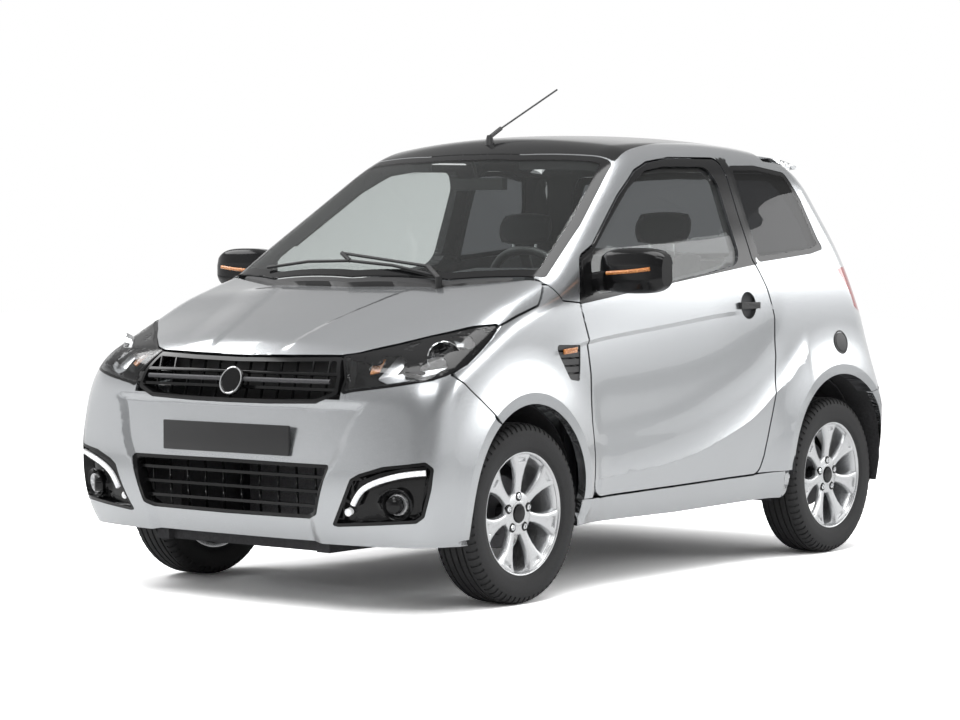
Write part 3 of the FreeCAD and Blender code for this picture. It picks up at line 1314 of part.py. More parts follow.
def steering_wheel():
    ring = tube_ring(wheel_hub, column_way, steering_radius, steering_tube)
    hub = Part.makeCylinder(44, 36, wheel_hub - column_way * 18, column_way)
    up = Vector(0, 1, 0).cross(column_way)
    pieces = [hub]
    for a in (0.0, 180.0, 270.0):
        turn = math.radians(a)
        way = Vector(0, 1, 0) * math.cos(turn) + up * math.sin(turn)
        pieces.append(rod(tuple(wheel_hub), tuple(wheel_hub + way * steering_radius), 10))
    return ring.fuse(pieces)


def cabin_mirror():
    head = box((0.040 * length, -110, 0.865 * height), (0.040 * length + 26, 110, 0.892 * height))
    stem = rod((0.040 * length + 13, 0, 0.880 * height), (0.058 * length, 0, top_z(0.058 * length, 0) - glass_wall - fit_gap - 4), 6)
    return head.fuse(stem)


# Wiper and aerial
def on_skin(x, y, lift):
    return Vector(x, y, top_z(x, y) + lift)


wiper_blade = 5.0
wiper_arm = 5.0
wiper_lift = 12.0


def wiper():
    """Pivot, cranked arm and a blade that follows the windscreen."""
    pivot = on_skin(wiper_pivot_x, wiper_pivot_y, 0)
    crank = on_skin(0.271 * length, 0.380 * half_width, 2.6 * wiper_lift)
    middle = on_skin(0.256 * length, -0.138 * half_width, 2.4 * wiper_lift)
    pieces = [rod(tuple(pivot - Vector(0, 0, 2 * wiper_lift)), tuple(pivot + Vector(0, 0, 2 * wiper_lift)), wiper_pivot_radius)]
    pieces.append(rod(tuple(pivot + Vector(0, 0, 1.5 * wiper_lift)), tuple(crank), 1.6 * wiper_arm))
    pieces.append(rod(tuple(crank), tuple(middle), wiper_arm))
    left, right = (0.2735 * length, 0.437 * half_width), (0.249 * length, -0.590 * half_width)
    blade = []
    for share in (0, 0.25, 0.50, 0.75, 1):
        blade.append(on_skin(left[0] + (right[0] - left[0]) * share, left[1] + (right[1] - left[1]) * share, wiper_lift))
    for near, far in zip(blade, blade[1:]):
        pieces.append(rod(tuple(near), tuple(far), wiper_blade))
    pieces.append(rod(tuple(blade[2]), tuple(middle), 1.4 * wiper_arm))
    return pieces[0].fuse(pieces[1:])


aerial_foot = 18.0


def aerial():
    foot = on_skin(0.023 * length, 0, fit_gap)
    tip = Vector(-0.116 * length, 0, 1.108 * height)
    way = (tip - foot).normalize()
    base = Part.makeCone(aerial_foot, aerial_foot / 2, 2 * aerial_foot, foot - Vector(0, 0, aerial_foot / 2), Vector(0, 0, 1))
    base = base.common(slab(across, (0, 0.046 * length), (80.0, 100.0), -2 * overrun, -fit_gap))
    thick = rod(tuple(foot + Vector(0, 0, 20)), tuple(foot + Vector(0, 0, 20) + way * 70), 7)
    mast = rod(tuple(foot + Vector(0, 0, 20) + way * 60), tuple(tip), 3)
    return base.fuse([thick, mast])


def build_all():
    save("front_wings", both_sides(front_wing()))
    save("wing_vents", both_sides(wing_vent()))
    frame = side_frame().fuse(front_post())
    save("side_frame_left", frame)
    save("side_frame_right", mirrored(frame))
    save("roof_panel", roof_panel().fuse(tailgate_hinges()))
    save("windscreen", windscreen())
    save("scuttle", scuttle())
    save("quarter_windows", both_sides(quarter_window()))
    save("bonnet", bonnet())
    panel, glass, mirror_shape = door(), door_glass(), door_mirror()
    for side, flip in (("left", lambda s: s), ("right", mirrored)):
        save("door_" + side, flip(panel))
        save("door_glass_" + side, flip(glass))
        save("door_mirror_" + side, flip(mirror_shape))
    save("tailgate", tailgate())
    save("tailgate_glass", tailgate_glass())
    save("headlamps", both_sides(headlamp()))
    save("headlamp_lenses", both_sides(headlamp_lens()))
    save("tail_lamps", both_sides(tail_lamp()))
    save("front_bumper", front_bumper())
    save("rear_bumper", rear_bumper())
    save("sills", both_sides(sill()))
    save("upper_grille", upper_grille())
    save("lower_grille", lower_grille())
    save("fog_lamps", both_sides(fog_lamp()))
    rubber, alloy = tyre(), rim()
    for end, x in (("front", front_axle_x), ("rear", rear_axle_x)):
        for side, sign in (("left", 1), ("right", -1)):
            save("tyre_" + end + "_" + side, place_wheel(rubber, x, sign))
            save("rim_" + end + "_" + side, place_wheel(alloy, x, sign))
    save("knuckle_left", knuckle())
    save("knuckle_right", mirrored(knuckle()))
    save("front_frame", front_frame())
    save("rear_axle", rear_axle())
    save("floor_pan", floor_pan())
    save("motor", motor())
    save("battery", battery())
    save("seats", both_sides(seat()))
    save("seat_bases", both_sides(seat_base()))
    save("dashboard", dashboard())
    save("steering_wheel", steering_wheel())
    save("cabin_mirror", cabin_mirror())
    save("wiper", wiper())
    save("aerial", aerial())


build_all()
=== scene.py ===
# %% [markdown]
# # A small silver city car
# The car is about 2.76 m long and seats two. Its painted panels, glass and running gear come from a
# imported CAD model, which this script loads as a fixed frame. Every visible finish, and every piece too
# fine for the CAD, is made here: the skin's creases, lamps, tyres with tread, alloy wheels and the cabin.

import math

import bmesh
import bpy
import numpy as np
from mathutils import Matrix, Vector, kdtree


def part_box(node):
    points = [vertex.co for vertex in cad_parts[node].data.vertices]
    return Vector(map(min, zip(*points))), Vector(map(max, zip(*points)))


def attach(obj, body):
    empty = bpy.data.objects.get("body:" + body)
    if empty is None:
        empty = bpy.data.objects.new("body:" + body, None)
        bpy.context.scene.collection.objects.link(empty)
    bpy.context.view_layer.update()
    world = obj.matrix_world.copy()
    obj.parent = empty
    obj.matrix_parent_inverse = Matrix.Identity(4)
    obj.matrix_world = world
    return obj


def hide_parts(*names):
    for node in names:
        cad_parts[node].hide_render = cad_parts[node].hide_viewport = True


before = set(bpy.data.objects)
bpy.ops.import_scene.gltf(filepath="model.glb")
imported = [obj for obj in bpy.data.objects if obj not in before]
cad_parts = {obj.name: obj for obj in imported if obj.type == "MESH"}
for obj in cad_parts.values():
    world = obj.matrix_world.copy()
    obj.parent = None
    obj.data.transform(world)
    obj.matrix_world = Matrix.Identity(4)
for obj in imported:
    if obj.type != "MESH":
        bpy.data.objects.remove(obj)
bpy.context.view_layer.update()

# %% [markdown]
# ## The skin as a formula
# A car's body is one smooth shape that is cut into panels afterwards. The CAD model works in the same
# way, so the same curves are repeated here in metres. With the formula, each panel's mesh can be laid
# exactly on the skin and can take its shading from the formula's slope. Reflections then flow from one
# panel to the next with no facets, which a coarse mesh alone can't give.

# %% Curves through listed stations
LENGTH, HALF, HEIGHT = 2.758, 0.75, 1.47
FRONT_AXLE, REAR_AXLE, AXLE_Z = 0.802, -1.014, 0.275


class Curve:
    """Natural cubic spline that works on whole arrays."""

    def __init__(self, shares, along, up):
        stations = sorted((a * along, b * up) for a, b in shares)
        self.x = np.array([a for a, _ in stations])
        self.y = np.array([b for _, b in stations])
        step = np.diff(self.x)
        count = len(self.x)
        system = np.eye(count)
        right = np.zeros(count)
        for i in range(1, count - 1):
            system[i, i - 1:i + 2] = step[i - 1], 2 * (step[i - 1] + step[i]), step[i]
            right[i] = 6 * ((self.y[i + 1] - self.y[i]) / step[i] - (self.y[i] - self.y[i - 1]) / step[i - 1])
        self.bend, self.step = np.linalg.solve(system, right), step

    def __call__(self, t):
        x, y, bend, step = self.x, self.y, self.bend, self.step
        i = np.clip(np.searchsorted(x, t) - 1, 0, len(step) - 1)
        b = (t - x[i]) / step[i]
        a = 1 - b
        inside = a * y[i] + b * y[i + 1] + ((a ** 3 - a) * bend[i] + (b ** 3 - b) * bend[i + 1]) * step[i] ** 2 / 6
        low = y[0] + (t - x[0]) * ((y[1] - y[0]) / step[0] - step[0] * bend[1] / 6)
        high = y[-1] + (t - x[-1]) * ((y[-1] - y[-2]) / step[-1] + step[-1] * bend[-2] / 6)
        return np.where(t < x[0], low, np.where(t > x[-1], high, inside))


plan = Curve([(-0.5, 0.968), (-0.435, 0.971), (-0.368, 0.963), (-0.254, 0.951), (-0.073, 0.936),
              (0.109, 0.936), (0.291, 0.955), (0.381, 0.972), (0.453, 0.984), (0.5, 0.989)], LENGTH, HALF)
section = Curve([(0.121, 0.080), (0.154, 0.051), (0.201, 0.023), (0.269, 0.005), (0.349, 0.0), (0.443, 0.003),
                 (0.524, 0.007), (0.578, 0.011), (0.624, 0.019), (0.663, 0.031), (0.698, 0.048),
                 (0.739, 0.073),
                 (0.805, 0.119), (0.873, 0.165), (0.940, 0.212), (1.007, 0.261)], HEIGHT, HALF)
bonnet_line = Curve([(-0.067, 0.752), (0.112, 0.725), (0.220, 0.685), (0.284, 0.654), (0.309, 0.6415),
                     (0.345, 0.618), (0.381, 0.593), (0.416, 0.567), (0.452, 0.537), (0.477, 0.508),
                     (0.498, 0.463)], LENGTH, HEIGHT)
bonnet_crown = Curve([(0.2375, 0.015), (0.298, 0.027), (0.363, 0.046), (0.452, 0.069), (0.477, 0.0765)],
                     LENGTH, HEIGHT)
roof_line = Curve([(-0.407, 0.956), (-0.353, 0.976), (-0.2995, 0.990), (-0.210, 1.0), (-0.120, 0.9985),
                   (-0.031, 0.9905), (0.023, 0.977), (0.058, 0.960), (0.112, 0.933)], LENGTH, HEIGHT)
nose_line = Curve([(0.121, 0.479), (0.154, 0.488), (0.201, 0.496), (0.255, 0.5), (0.309, 0.4995),
                   (0.369, 0.4945),
                   (0.436, 0.487), (0.508, 0.4765), (0.571, 0.459), (0.638, 0.431)], HEIGHT, LENGTH)
tail_line = Curve([(0.121, -0.4825), (0.175, -0.4905), (0.235, -0.498), (0.302, -0.5), (0.376, -0.499),
                   (0.4565, -0.4935), (0.537, -0.4835), (0.5775, -0.474), (0.638, -0.458), (0.739, -0.4355),
                   (0.839, -0.4085), (0.940, -0.379), (1.007, -0.357)], HEIGHT, LENGTH)


def soft_min(a, b, blend):
    near = np.maximum(blend - np.abs(a - b), 0) / blend
    return np.minimum(a, b) - near * near * blend / 4


def ramp(t):
    t = np.clip(t, 0, 1)
    return t * t * (3 - 2 * t)


def bonnet_z(x, y):
    return bonnet_line(x) - bonnet_crown(x) * (y / HALF) ** 2


def cabin_z(x, y):
    out = (y / HALF) ** 2
    return soft_min(0.959 + 0.646 * (0.823 - x) - 0.131 * out, roof_line(x) - 0.096 * out, 0.045)


def full_z(x, y):
    return -soft_min(-bonnet_z(x, y), -cabin_z(x, y), 0.012)


def side_y(x, z):
    half = plan(x) - section(z)
    for arch_x, arch_z in ((FRONT_AXLE, 0.311), (REAR_AXLE, 0.338)):
        half = half + 0.012 * (1 - ramp((np.hypot(x - arch_x, z - arch_z) - 0.330) / 0.150))
    return half


print("half width at the door:", round(float(side_y(np.array([0.0]), np.array([0.6]))[0]), 3), "m")

# %% [markdown]
# ## Creases pressed into the skin
# The real panels have pressed lines that catch the light: a shoulder crease from the vent to the door
# handle, a sweep that rises over the rear wheel, two ridges on the bonnet and a set-back middle in the
# front bumper. Each is a small offset outwards or inwards, in millimetres, added to the formula.

# %% Offsets of the pressed lines
shoulder = Curve([(-0.75, 0.872), (-0.36, 0.864), (0.04, 0.829), (0.46, 0.790), (0.75, 0.742)], 1, 1)
sweep = Curve([(-0.98, 0.800), (-0.811, 0.713), (-0.709, 0.640), (-0.593, 0.575), (-0.514, 0.528),
               (-0.324, 0.455), (-0.139, 0.405), (0.190, 0.366), (0.436, 0.352)], 1, 1)
ridge = Curve([(0.76, 0.300), (0.90, 0.247), (1.014, 0.208), (1.13, 0.176), (1.28, 0.150)], 1, 1)
fold = Curve([(0.20, 0.318), (0.346, 0.332), (0.478, 0.416), (0.586, 0.461), (0.66, 0.520)], 1, 1)


def window(t, low, high, soft):
    """1 between low and high, falling to 0 over soft outside."""
    return ramp((t - low) / soft + 1) * ramp((high - t) / soft + 1)


def from_arch(x, z):
    """Distance to the nearer wheel arch's cut edge."""
    return np.minimum(np.hypot(x - FRONT_AXLE, z - 0.311), np.hypot(x - REAR_AXLE, z - 0.338)) - 0.297


def arch_band(x, y, z):
    """The CAD's raised band round the arches, which falls to the skin over a narrow step."""
    rise = 0.011 * np.clip(1 - (from_arch(x, z) - 0.034) / 0.0133, 0, 1)
    return np.where((np.abs(y) > 0.55) & (z > 0.2195), rise, 0)


def arch_flare(x, y, z):
    """The real band: flat, with the panel swelling out to its upper edge."""
    away = np.clip((from_arch(x, z) - 0.034) / 0.105, 0, 1)
    return np.where(np.abs(y) > 0.55, 0.011 * (1 - away) ** 2 * ramp((z - 0.150) / 0.07), 0)


def ledge(above, fall, up, down, crest, foot):
    """A crease that overhangs: it swells to the crest, drops by a narrow ledge and eases back below."""
    high = crest * np.clip(1 - above / up, 0, 1) ** 2
    low = foot * np.clip(1 + (above + fall) / down, 0, 1) ** 2
    step = crest + (foot - crest) * np.clip(-above / fall, 0, 1)
    return np.where(above > 0, high, np.where(above < -fall, low, step))


def pressed(x, y, z):
    """How far the finished skin stands out from the plain one, in metres."""
    side = ramp((np.abs(y) - 0.60) / 0.05)
    narrow = ramp((0.68 - x) / 0.22) * ramp((x + 0.46) / 0.25) * (0.45 + 0.55 * ramp((x + 0.40) / 0.85))
    lift = side * narrow * ledge(z - shoulder(x), 0.014, 0.09, 0.15, 0.0035, -0.0060)
    lift = lift + side * window(x, -0.80, 0.40, 0.04) * ledge(z - sweep(x), 0.16, 0.085, 0.02, 0.0100, 0.0)
    lift = lift - side * window(x, -0.60, 0.36,
                                0.12) * 0.0065 * np.exp(-((z - sweep(x) - 0.165) / 0.085) ** 2)
    top = window(x, 0.84, 1.23, 0.05) * ramp((z - 0.70) / 0.03)
    off = np.abs(y) - ridge(x)
    lift = lift + top * 0.0055 * (np.clip(off / 0.026 + 0.5, 0, 1) - ramp((off - 0.02) / 0.16))
    nose = ramp((x - 1.15) / 0.06) * window(z, 0.19, 0.60, 0.03)
    lift = lift - nose * 0.014 * np.clip(1 - (np.abs(y) - fold(z)) / 0.030, 0, 1)
    return lift + arch_flare(x, y, z)


def depth_inside(p, top=full_z):
    """How far points lie under the finished skin, below zero outside."""
    x, y, z = p[:, 0], np.abs(p[:, 1]), p[:, 2]
    out = (y / HALF) ** 3
    depth = soft_min(side_y(x, z) - y, top(x, y) - z, 0.090)
    depth = soft_min(depth, nose_line(z) - 0.109 * out - x, 0.080)
    swept = 0.042 + 0.042 * ramp((z - 0.560) / 0.260)
    return soft_min(depth, x - tail_line(z) - swept * out, 0.110)


def finished(p, top):
    return depth_inside(p, top) + pressed(p[:, 0], p[:, 1], p[:, 2])


def plain(p, top):
    """Depth under the CAD's own skin, bands included."""
    return depth_inside(p, top) + arch_band(p[:, 0], p[:, 1], p[:, 2])


def slope(p, top, step=0.0015, shape=finished):
    """Gradient of the depth, by differences."""
    rise = np.empty_like(p)
    for axis in range(3):
        push = np.zeros(3)
        push[axis] = step
        rise[:, axis] = (shape(p + push, top) - shape(p - push, top)) / (2 * step)
    return rise


print("pressing at the shoulder:",
      np.round(pressed(np.zeros(3), np.full(3, 0.69), np.array([0.80, 0.83, 0.87])) * 1000, 2), "mm")

# %% [markdown]
# ## Finishes
# Each finish is a small node tree on Object coordinates, so its grain stays put when a door swings.
# Silver paint is metal flake under clear coat: a metallic base whose roughness is broken up by fine
# noise, with the coat giving the sharp reflection. Plastics carry a fine grain, rubber is dull, and
# glass is a tinted Transparent shader with a glossy layer by Fresnel, which lets the lamps light the
# cabin through it.

# %% Material helpers
def finish(name, color, roughness=0.5, metallic=0.0, coat=0.0, coat_roughness=0.03, specular=0.5, sheen=0.0):
    """A Principled material with constants on its own sockets."""
    made = bpy.data.materials.new(name)
    made.use_nodes = True
    shader = made.node_tree.nodes["Principled BSDF"]
    shader.inputs["Base Color"].default_value = (*color, 1)
    shader.inputs["Roughness"].default_value = roughness
    shader.inputs["Metallic"].default_value = metallic
    shader.inputs["Coat Weight"].default_value = coat
    shader.inputs["Coat Roughness"].default_value = coat_roughness
    shader.inputs["Specular IOR Level"].default_value = specular
    shader.inputs["Sheen Weight"].default_value = sheen
    made.diffuse_color = (*color, 1)
    return made


def grain(made, scale, dark, light, bump=0.0, distance=0.001, detail=3.0, rough=None, kind="NOISE"):
    """Fine variation of colour, height and roughness from one noise on Object coordinates."""
    nodes, links = made.node_tree.nodes, made.node_tree.links
    shader = nodes["Principled BSDF"]
    place = nodes.new("ShaderNodeTexCoord")
    if kind == "CELLS":
        pattern = nodes.new("ShaderNodeTexVoronoi")
        value = pattern.outputs["Distance"]
    else:
        pattern = nodes.new("ShaderNodeTexNoise")
        pattern.inputs["Detail"].default_value = detail
        value = pattern.outputs["Fac"]
    pattern.inputs["Scale"].default_value = scale
    links.new(place.outputs["Object"], pattern.inputs["Vector"])
    if dark != light:
        tones = nodes.new("ShaderNodeValToRGB")
        tones.color_ramp.elements[0].position = 0.3
        tones.color_ramp.elements[1].position = 0.7
        tones.color_ramp.elements[0].color = (*dark, 1)
        tones.color_ramp.elements[1].color = (*light, 1)
        links.new(value, tones.inputs["Fac"])
        links.new(tones.outputs["Color"], shader.inputs["Base Color"])
    if bump:
        height = nodes.new("ShaderNodeBump")
        height.inputs["Strength"].default_value = bump
        height.inputs["Distance"].default_value = distance
        links.new(value, height.inputs["Height"])
        links.new(height.outputs["Normal"], shader.inputs["Normal"])
    if rough:
        spread = nodes.new("ShaderNodeMapRange")
        spread.inputs["To Min"].default_value = rough[0]
        spread.inputs["To Max"].default_value = rough[1]
        links.new(value, spread.inputs["Value"])
        links.new(spread.outputs["Result"], shader.inputs["Roughness"])
    return made


silver = grain(finish("silver_paint", (0.47, 0.485, 0.50), 0.26, 0.86, coat=1.0, coat_roughness=0.02),
               2600, (0.445, 0.46, 0.475), (0.50, 0.515, 0.53), rough=(0.22, 0.31), detail=1.0)
gloss_black = grain(finish("gloss_black", (0.007, 0.007, 0.008), 0.14, specular=0.32),
                    900, (0.006, 0.006, 0.0065), (0.009, 0.009, 0.0095), rough=(0.11, 0.18))
trim = grain(finish("cabin_trim", (0.045, 0.046, 0.05), 0.62), 900, (0.038, 0.039, 0.042),
             (0.056, 0.057, 0.062), bump=0.25, distance=0.0004, rough=(0.55, 0.70))
satin_black = grain(finish("satin_black", (0.02, 0.02, 0.021), 0.42), 1500, (0.016, 0.016, 0.017),
                    (0.026, 0.026, 0.027), bump=0.15, distance=0.0003, rough=(0.36, 0.50))
rubber = grain(finish("rubber", (0.018, 0.018, 0.019), 0.72), 240, (0.014, 0.014, 0.015),
               (0.026, 0.026, 0.027), bump=0.2, distance=0.0005, rough=(0.62, 0.80))
underseal = grain(finish("underseal", (0.03, 0.03, 0.032), 0.8), 120, (0.022, 0.022, 0.024),
                  (0.042, 0.042, 0.045), bump=0.5, distance=0.002, rough=(0.70, 0.92))
dark_steel = grain(finish("dark_steel", (0.10, 0.10, 0.105), 0.5, 0.8), 300, (0.07, 0.07, 0.075),
                   (0.14, 0.14, 0.145), bump=0.15, distance=0.0006, rough=(0.40, 0.62))
bright_metal = grain(finish("bright_metal", (0.78, 0.79, 0.80), 0.10, 1.0), 500, (0.74, 0.75, 0.76),
                     (0.82, 0.83, 0.84), rough=(0.06, 0.14))
alloy = grain(finish("wheel_silver", (0.62, 0.63, 0.64), 0.26, 0.8, coat=0.8, coat_roughness=0.05), 1800,
              (0.58, 0.59, 0.60), (0.68, 0.69, 0.70), rough=(0.22, 0.32))
print("finishes so far:", len(bpy.data.materials))

# %% [markdown]
# ## Glass
# A car's panes are thin tempered sheets, and the larger ones carry a black printed border that hides
# the glue. Clear glass could be a refracting shader, but then the lamps hardly light the cabin, so a
# pane is a Transparent tint with a glossy layer that grows towards the edge of sight. The border is
# read from each point's distance to the pane's edge, which the panel cell measures.

# %% Glass
def glazing(name, tint, rough=0.0):
    """A tinted pane: mostly Transparent, glossy by Fresnel, with a little of its own colour."""
    made = bpy.data.materials.new(name)
    made.use_nodes = True
    nodes, links = made.node_tree.nodes, made.node_tree.links
    nodes.remove(nodes["Principled BSDF"])
    clear = nodes.new("ShaderNodeBsdfTransparent")
    clear.inputs["Color"].default_value = (*tint, 1)
    shine = nodes.new("ShaderNodeBsdfGlossy")
    shine.inputs["Roughness"].default_value = rough
    edge = nodes.new("ShaderNodeLayerWeight")
    edge.inputs["Blend"].default_value = 0.5
    steep = nodes.new("ShaderNodeMath")
    steep.operation = "POWER"
    steep.inputs[1].default_value = 5.0
    share = nodes.new("ShaderNodeMath")
    share.operation = "MULTIPLY_ADD"
    share.inputs[1].default_value = 0.85
    share.inputs[2].default_value = 0.035
    mix = nodes.new("ShaderNodeMixShader")
    links.new(edge.outputs["Facing"], steep.inputs[0])
    links.new(steep.outputs["Value"], share.inputs[0])
    links.new(share.outputs["Value"], mix.inputs["Fac"])
    links.new(clear.outputs["BSDF"], mix.inputs[1])
    links.new(shine.outputs["BSDF"], mix.inputs[2])
    links.new(mix.outputs["Shader"], nodes["Material Output"].inputs["Surface"])
    made.diffuse_color = (*tint, 0.4)
    return made


def bordered(made, width):
    """A black printed border as wide as that, from the distance to the pane's edge."""
    nodes, links = made.node_tree.nodes, made.node_tree.links
    out = nodes["Material Output"].inputs["Surface"]
    pane = out.links[0].from_socket
    band = nodes.new("ShaderNodeAttribute")
    band.attribute_name = "to_edge"
    beyond = nodes.new("ShaderNodeMath")
    beyond.operation = "LESS_THAN"
    beyond.inputs[1].default_value = width
    ink = nodes.new("ShaderNodeBsdfPrincipled")
    ink.inputs["Base Color"].default_value = (0.006, 0.006, 0.0065, 1)
    ink.inputs["Roughness"].default_value = 0.10
    ink.inputs["Specular IOR Level"].default_value = 0.32
    both = nodes.new("ShaderNodeMixShader")
    links.new(band.outputs["Fac"], beyond.inputs[0])
    links.new(beyond.outputs["Value"], both.inputs["Fac"])
    links.new(pane, both.inputs[1])
    links.new(ink.outputs["BSDF"], both.inputs[2])
    links.new(both.outputs["Shader"], out)
    return made


screen_glass = bordered(glazing("screen_glass", (0.86, 0.88, 0.875)), 0.034)
door_glass = glazing("door_glass", (0.87, 0.885, 0.88))
rear_glass = bordered(glazing("rear_glass", (0.34, 0.345, 0.355)), 0.030)
dark_glass = bordered(glazing("dark_glass", (0.30, 0.305, 0.315)), 0.020)
lamp_glass = bordered(glazing("lamp_glass", (0.97, 0.975, 0.98)), 0.008)
print("panes:", [m.name for m in (screen_glass, door_glass, rear_glass, dark_glass, lamp_glass)])

# %% [markdown]
# ## Panels
# Each painted panel starts as a copy of its CAD node. The copy's doubled points are merged, long edges
# on the outside are split, and the outer points are laid on the finished skin. The shading normals of
# the outside then come from the formula, while folded edges keep their own.

# %% Mesh helpers
MERGED, OUTER, NEAR_OUTER = 0.00002, 0.0026, 0.0034


def only(*pieces):
    bpy.ops.object.select_all(action="DESELECT")
    for piece in pieces:
        piece.select_set(True)
    bpy.context.view_layer.objects.active = pieces[0]


def copy_of(node, name):
    """An unlinked copy of a CAD node's mesh with its doubled points merged."""
    piece = bpy.data.objects.new(name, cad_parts[node].data.copy())
    bpy.context.collection.objects.link(piece)
    piece.data.materials.clear()
    only(piece)
    bpy.ops.object.mode_set(mode="EDIT")
    bpy.ops.mesh.select_all(action="SELECT")
    bpy.ops.mesh.remove_doubles(threshold=MERGED)
    bpy.ops.object.mode_set(mode="OBJECT")
    return piece


def read(items, name, width=3):
    """One property of a mesh's points, corners or faces as an array."""
    flat = np.empty(len(items) * width, dtype=float if width > 1 else int)
    items.foreach_get(name, flat)
    return flat.reshape(-1, width) if width > 1 else flat


def points_of(mesh):
    return read(mesh.vertices, "co")


def in_triangles(work):
    bmesh.ops.triangulate(work, faces=[f for f in work.faces if len(f.verts) > 3])


print("CAD nodes to copy from:", len(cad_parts))

# %% [markdown]
# ## Cutting a panel where its creases run
# A crease needs a row of edges to lie on. A finer grid everywhere would do, at many times the triangles,
# so the faces are split only where they are long or where a line of zero height crosses them.

# %% Split and cut
def cut_along(work, height_over):
    """Split the faces along the line where height_over is zero."""
    work.verts.ensure_lookup_table()
    over = height_over(np.array([v.co for v in work.verts]))
    over[np.abs(over) < 0.0004] = 0
    crossing = []
    for edge in work.edges:
        a, b = (v.index for v in edge.verts)
        if over[a] * over[b] < 0:
            crossing.append((edge, edge.verts[0], over[a] / (over[a] - over[b])))
    added = set(v for v in work.verts if over[v.index] == 0)
    for edge, start, share in crossing:
        added.add(bmesh.utils.edge_split(edge, start, share)[1])
    for face in list(work.faces):
        on_line = [v for v in face.verts if v in added]
        if len(on_line) == 2 and not any(set(e.verts) == set(on_line) for e in face.edges):
            bmesh.utils.face_split(face, on_line[0], on_line[1])
    in_triangles(work)
    work.verts.index_update()


def sliver(face):
    return face.calc_area() / max(e.calc_length() for e in face.edges) ** 2 < 0.004


def refine(mesh, is_outer, longest, cuts, lines):
    """Cut a panel by planes, split the long edges of its outside and cut it along its creases."""
    work = bmesh.new()
    work.from_mesh(mesh)
    for place, normal in cuts:
        bmesh.ops.bisect_plane(work, geom=work.verts[:] + work.edges[:] + work.faces[:], plane_co=place,
                               plane_no=normal)
    in_triangles(work)
    for _ in range(8):
        work.verts.ensure_lookup_table()
        work.verts.index_update()
        near = is_outer(np.array([v.co for v in work.verts]), NEAR_OUTER)
        long = [e for e in work.edges if near[e.verts[0].index] and near[e.verts[1].index]
                and e.calc_length() > longest
                and not (e.is_manifold and all(sliver(f) for f in e.link_faces))]
        if not long:
            break
        bmesh.ops.subdivide_edges(work, edges=long, cuts=1)
        in_triangles(work)
    for line in lines:
        cut_along(work, line)
    work.to_mesh(mesh)
    work.free()


print("a point counts as outer within", OUTER * 1000, "mm of the skin")

# %% [markdown]
# ## Shading from the formula
# Even a fine mesh shows its facets in a mirror-like paint. The face corners of the outside therefore get
# the formula's own slope as their normal, taken just inside each face so that a crease stays sharp. Folded
# edges keep the normals of their own faces.

# %% Shade and measure
def shade_from_formula(mesh, moved, skin, top):
    """Set the corner normals of the outside, and tell how squarely each corner's face looks outwards."""
    corners = read(mesh.corner_normals, "vector")
    vertex = read(mesh.loops, "vertex_index", 1)
    owner = np.repeat(np.arange(len(mesh.polygons)), read(mesh.polygons, "loop_total", 1))
    inward = read(mesh.polygons, "center")[owner] - moved[vertex]
    inward *= 0.0012 / np.maximum(np.linalg.norm(inward, axis=1), 1e-9)[:, None]
    out = -slope(moved[vertex] + inward, top, 0.0004)
    out /= np.linalg.norm(out, axis=1)[:, None]
    square = np.einsum("ij,ij->i", read(mesh.polygons, "normal")[owner], out)
    use = skin[vertex] & (square > 0.80)
    corners[use] = out[use]
    mesh.normals_split_custom_set(corners.tolist())
    return vertex, square


def measure_to_edge(mesh, moved, skin, vertex, square):
    """Write each point's distance to the pane's rim, which the printed border reads."""
    flat_skin = (square > 0.90) & skin[vertex]
    inner = set(vertex[flat_skin].tolist()) - set(vertex[~flat_skin].tolist())
    rim = [i for i in range(len(moved)) if skin[i] and i not in inner]
    tree = kdtree.KDTree(len(rim))
    for i in rim:
        tree.insert(Vector(moved[i]), i)
    tree.balance()
    far = np.array([tree.find(Vector(q))[2] for q in moved])
    mesh.attributes.new("to_edge", "FLOAT", "POINT").data.foreach_set("value", far)


print("corner normals come from a step of 0.4 mm")

# %% [markdown]
# ## Dressing a panel
# The steps together: copy, refine, move the outside onto the finished skin, shade, sort the faces into
# materials, and hand the piece to its body in place of the CAD node.

# %% Dress a panel
PIN_X, PIN_Y = 0.375, 0.688  # the door's hinge pin, whose eye keeps its CAD shape


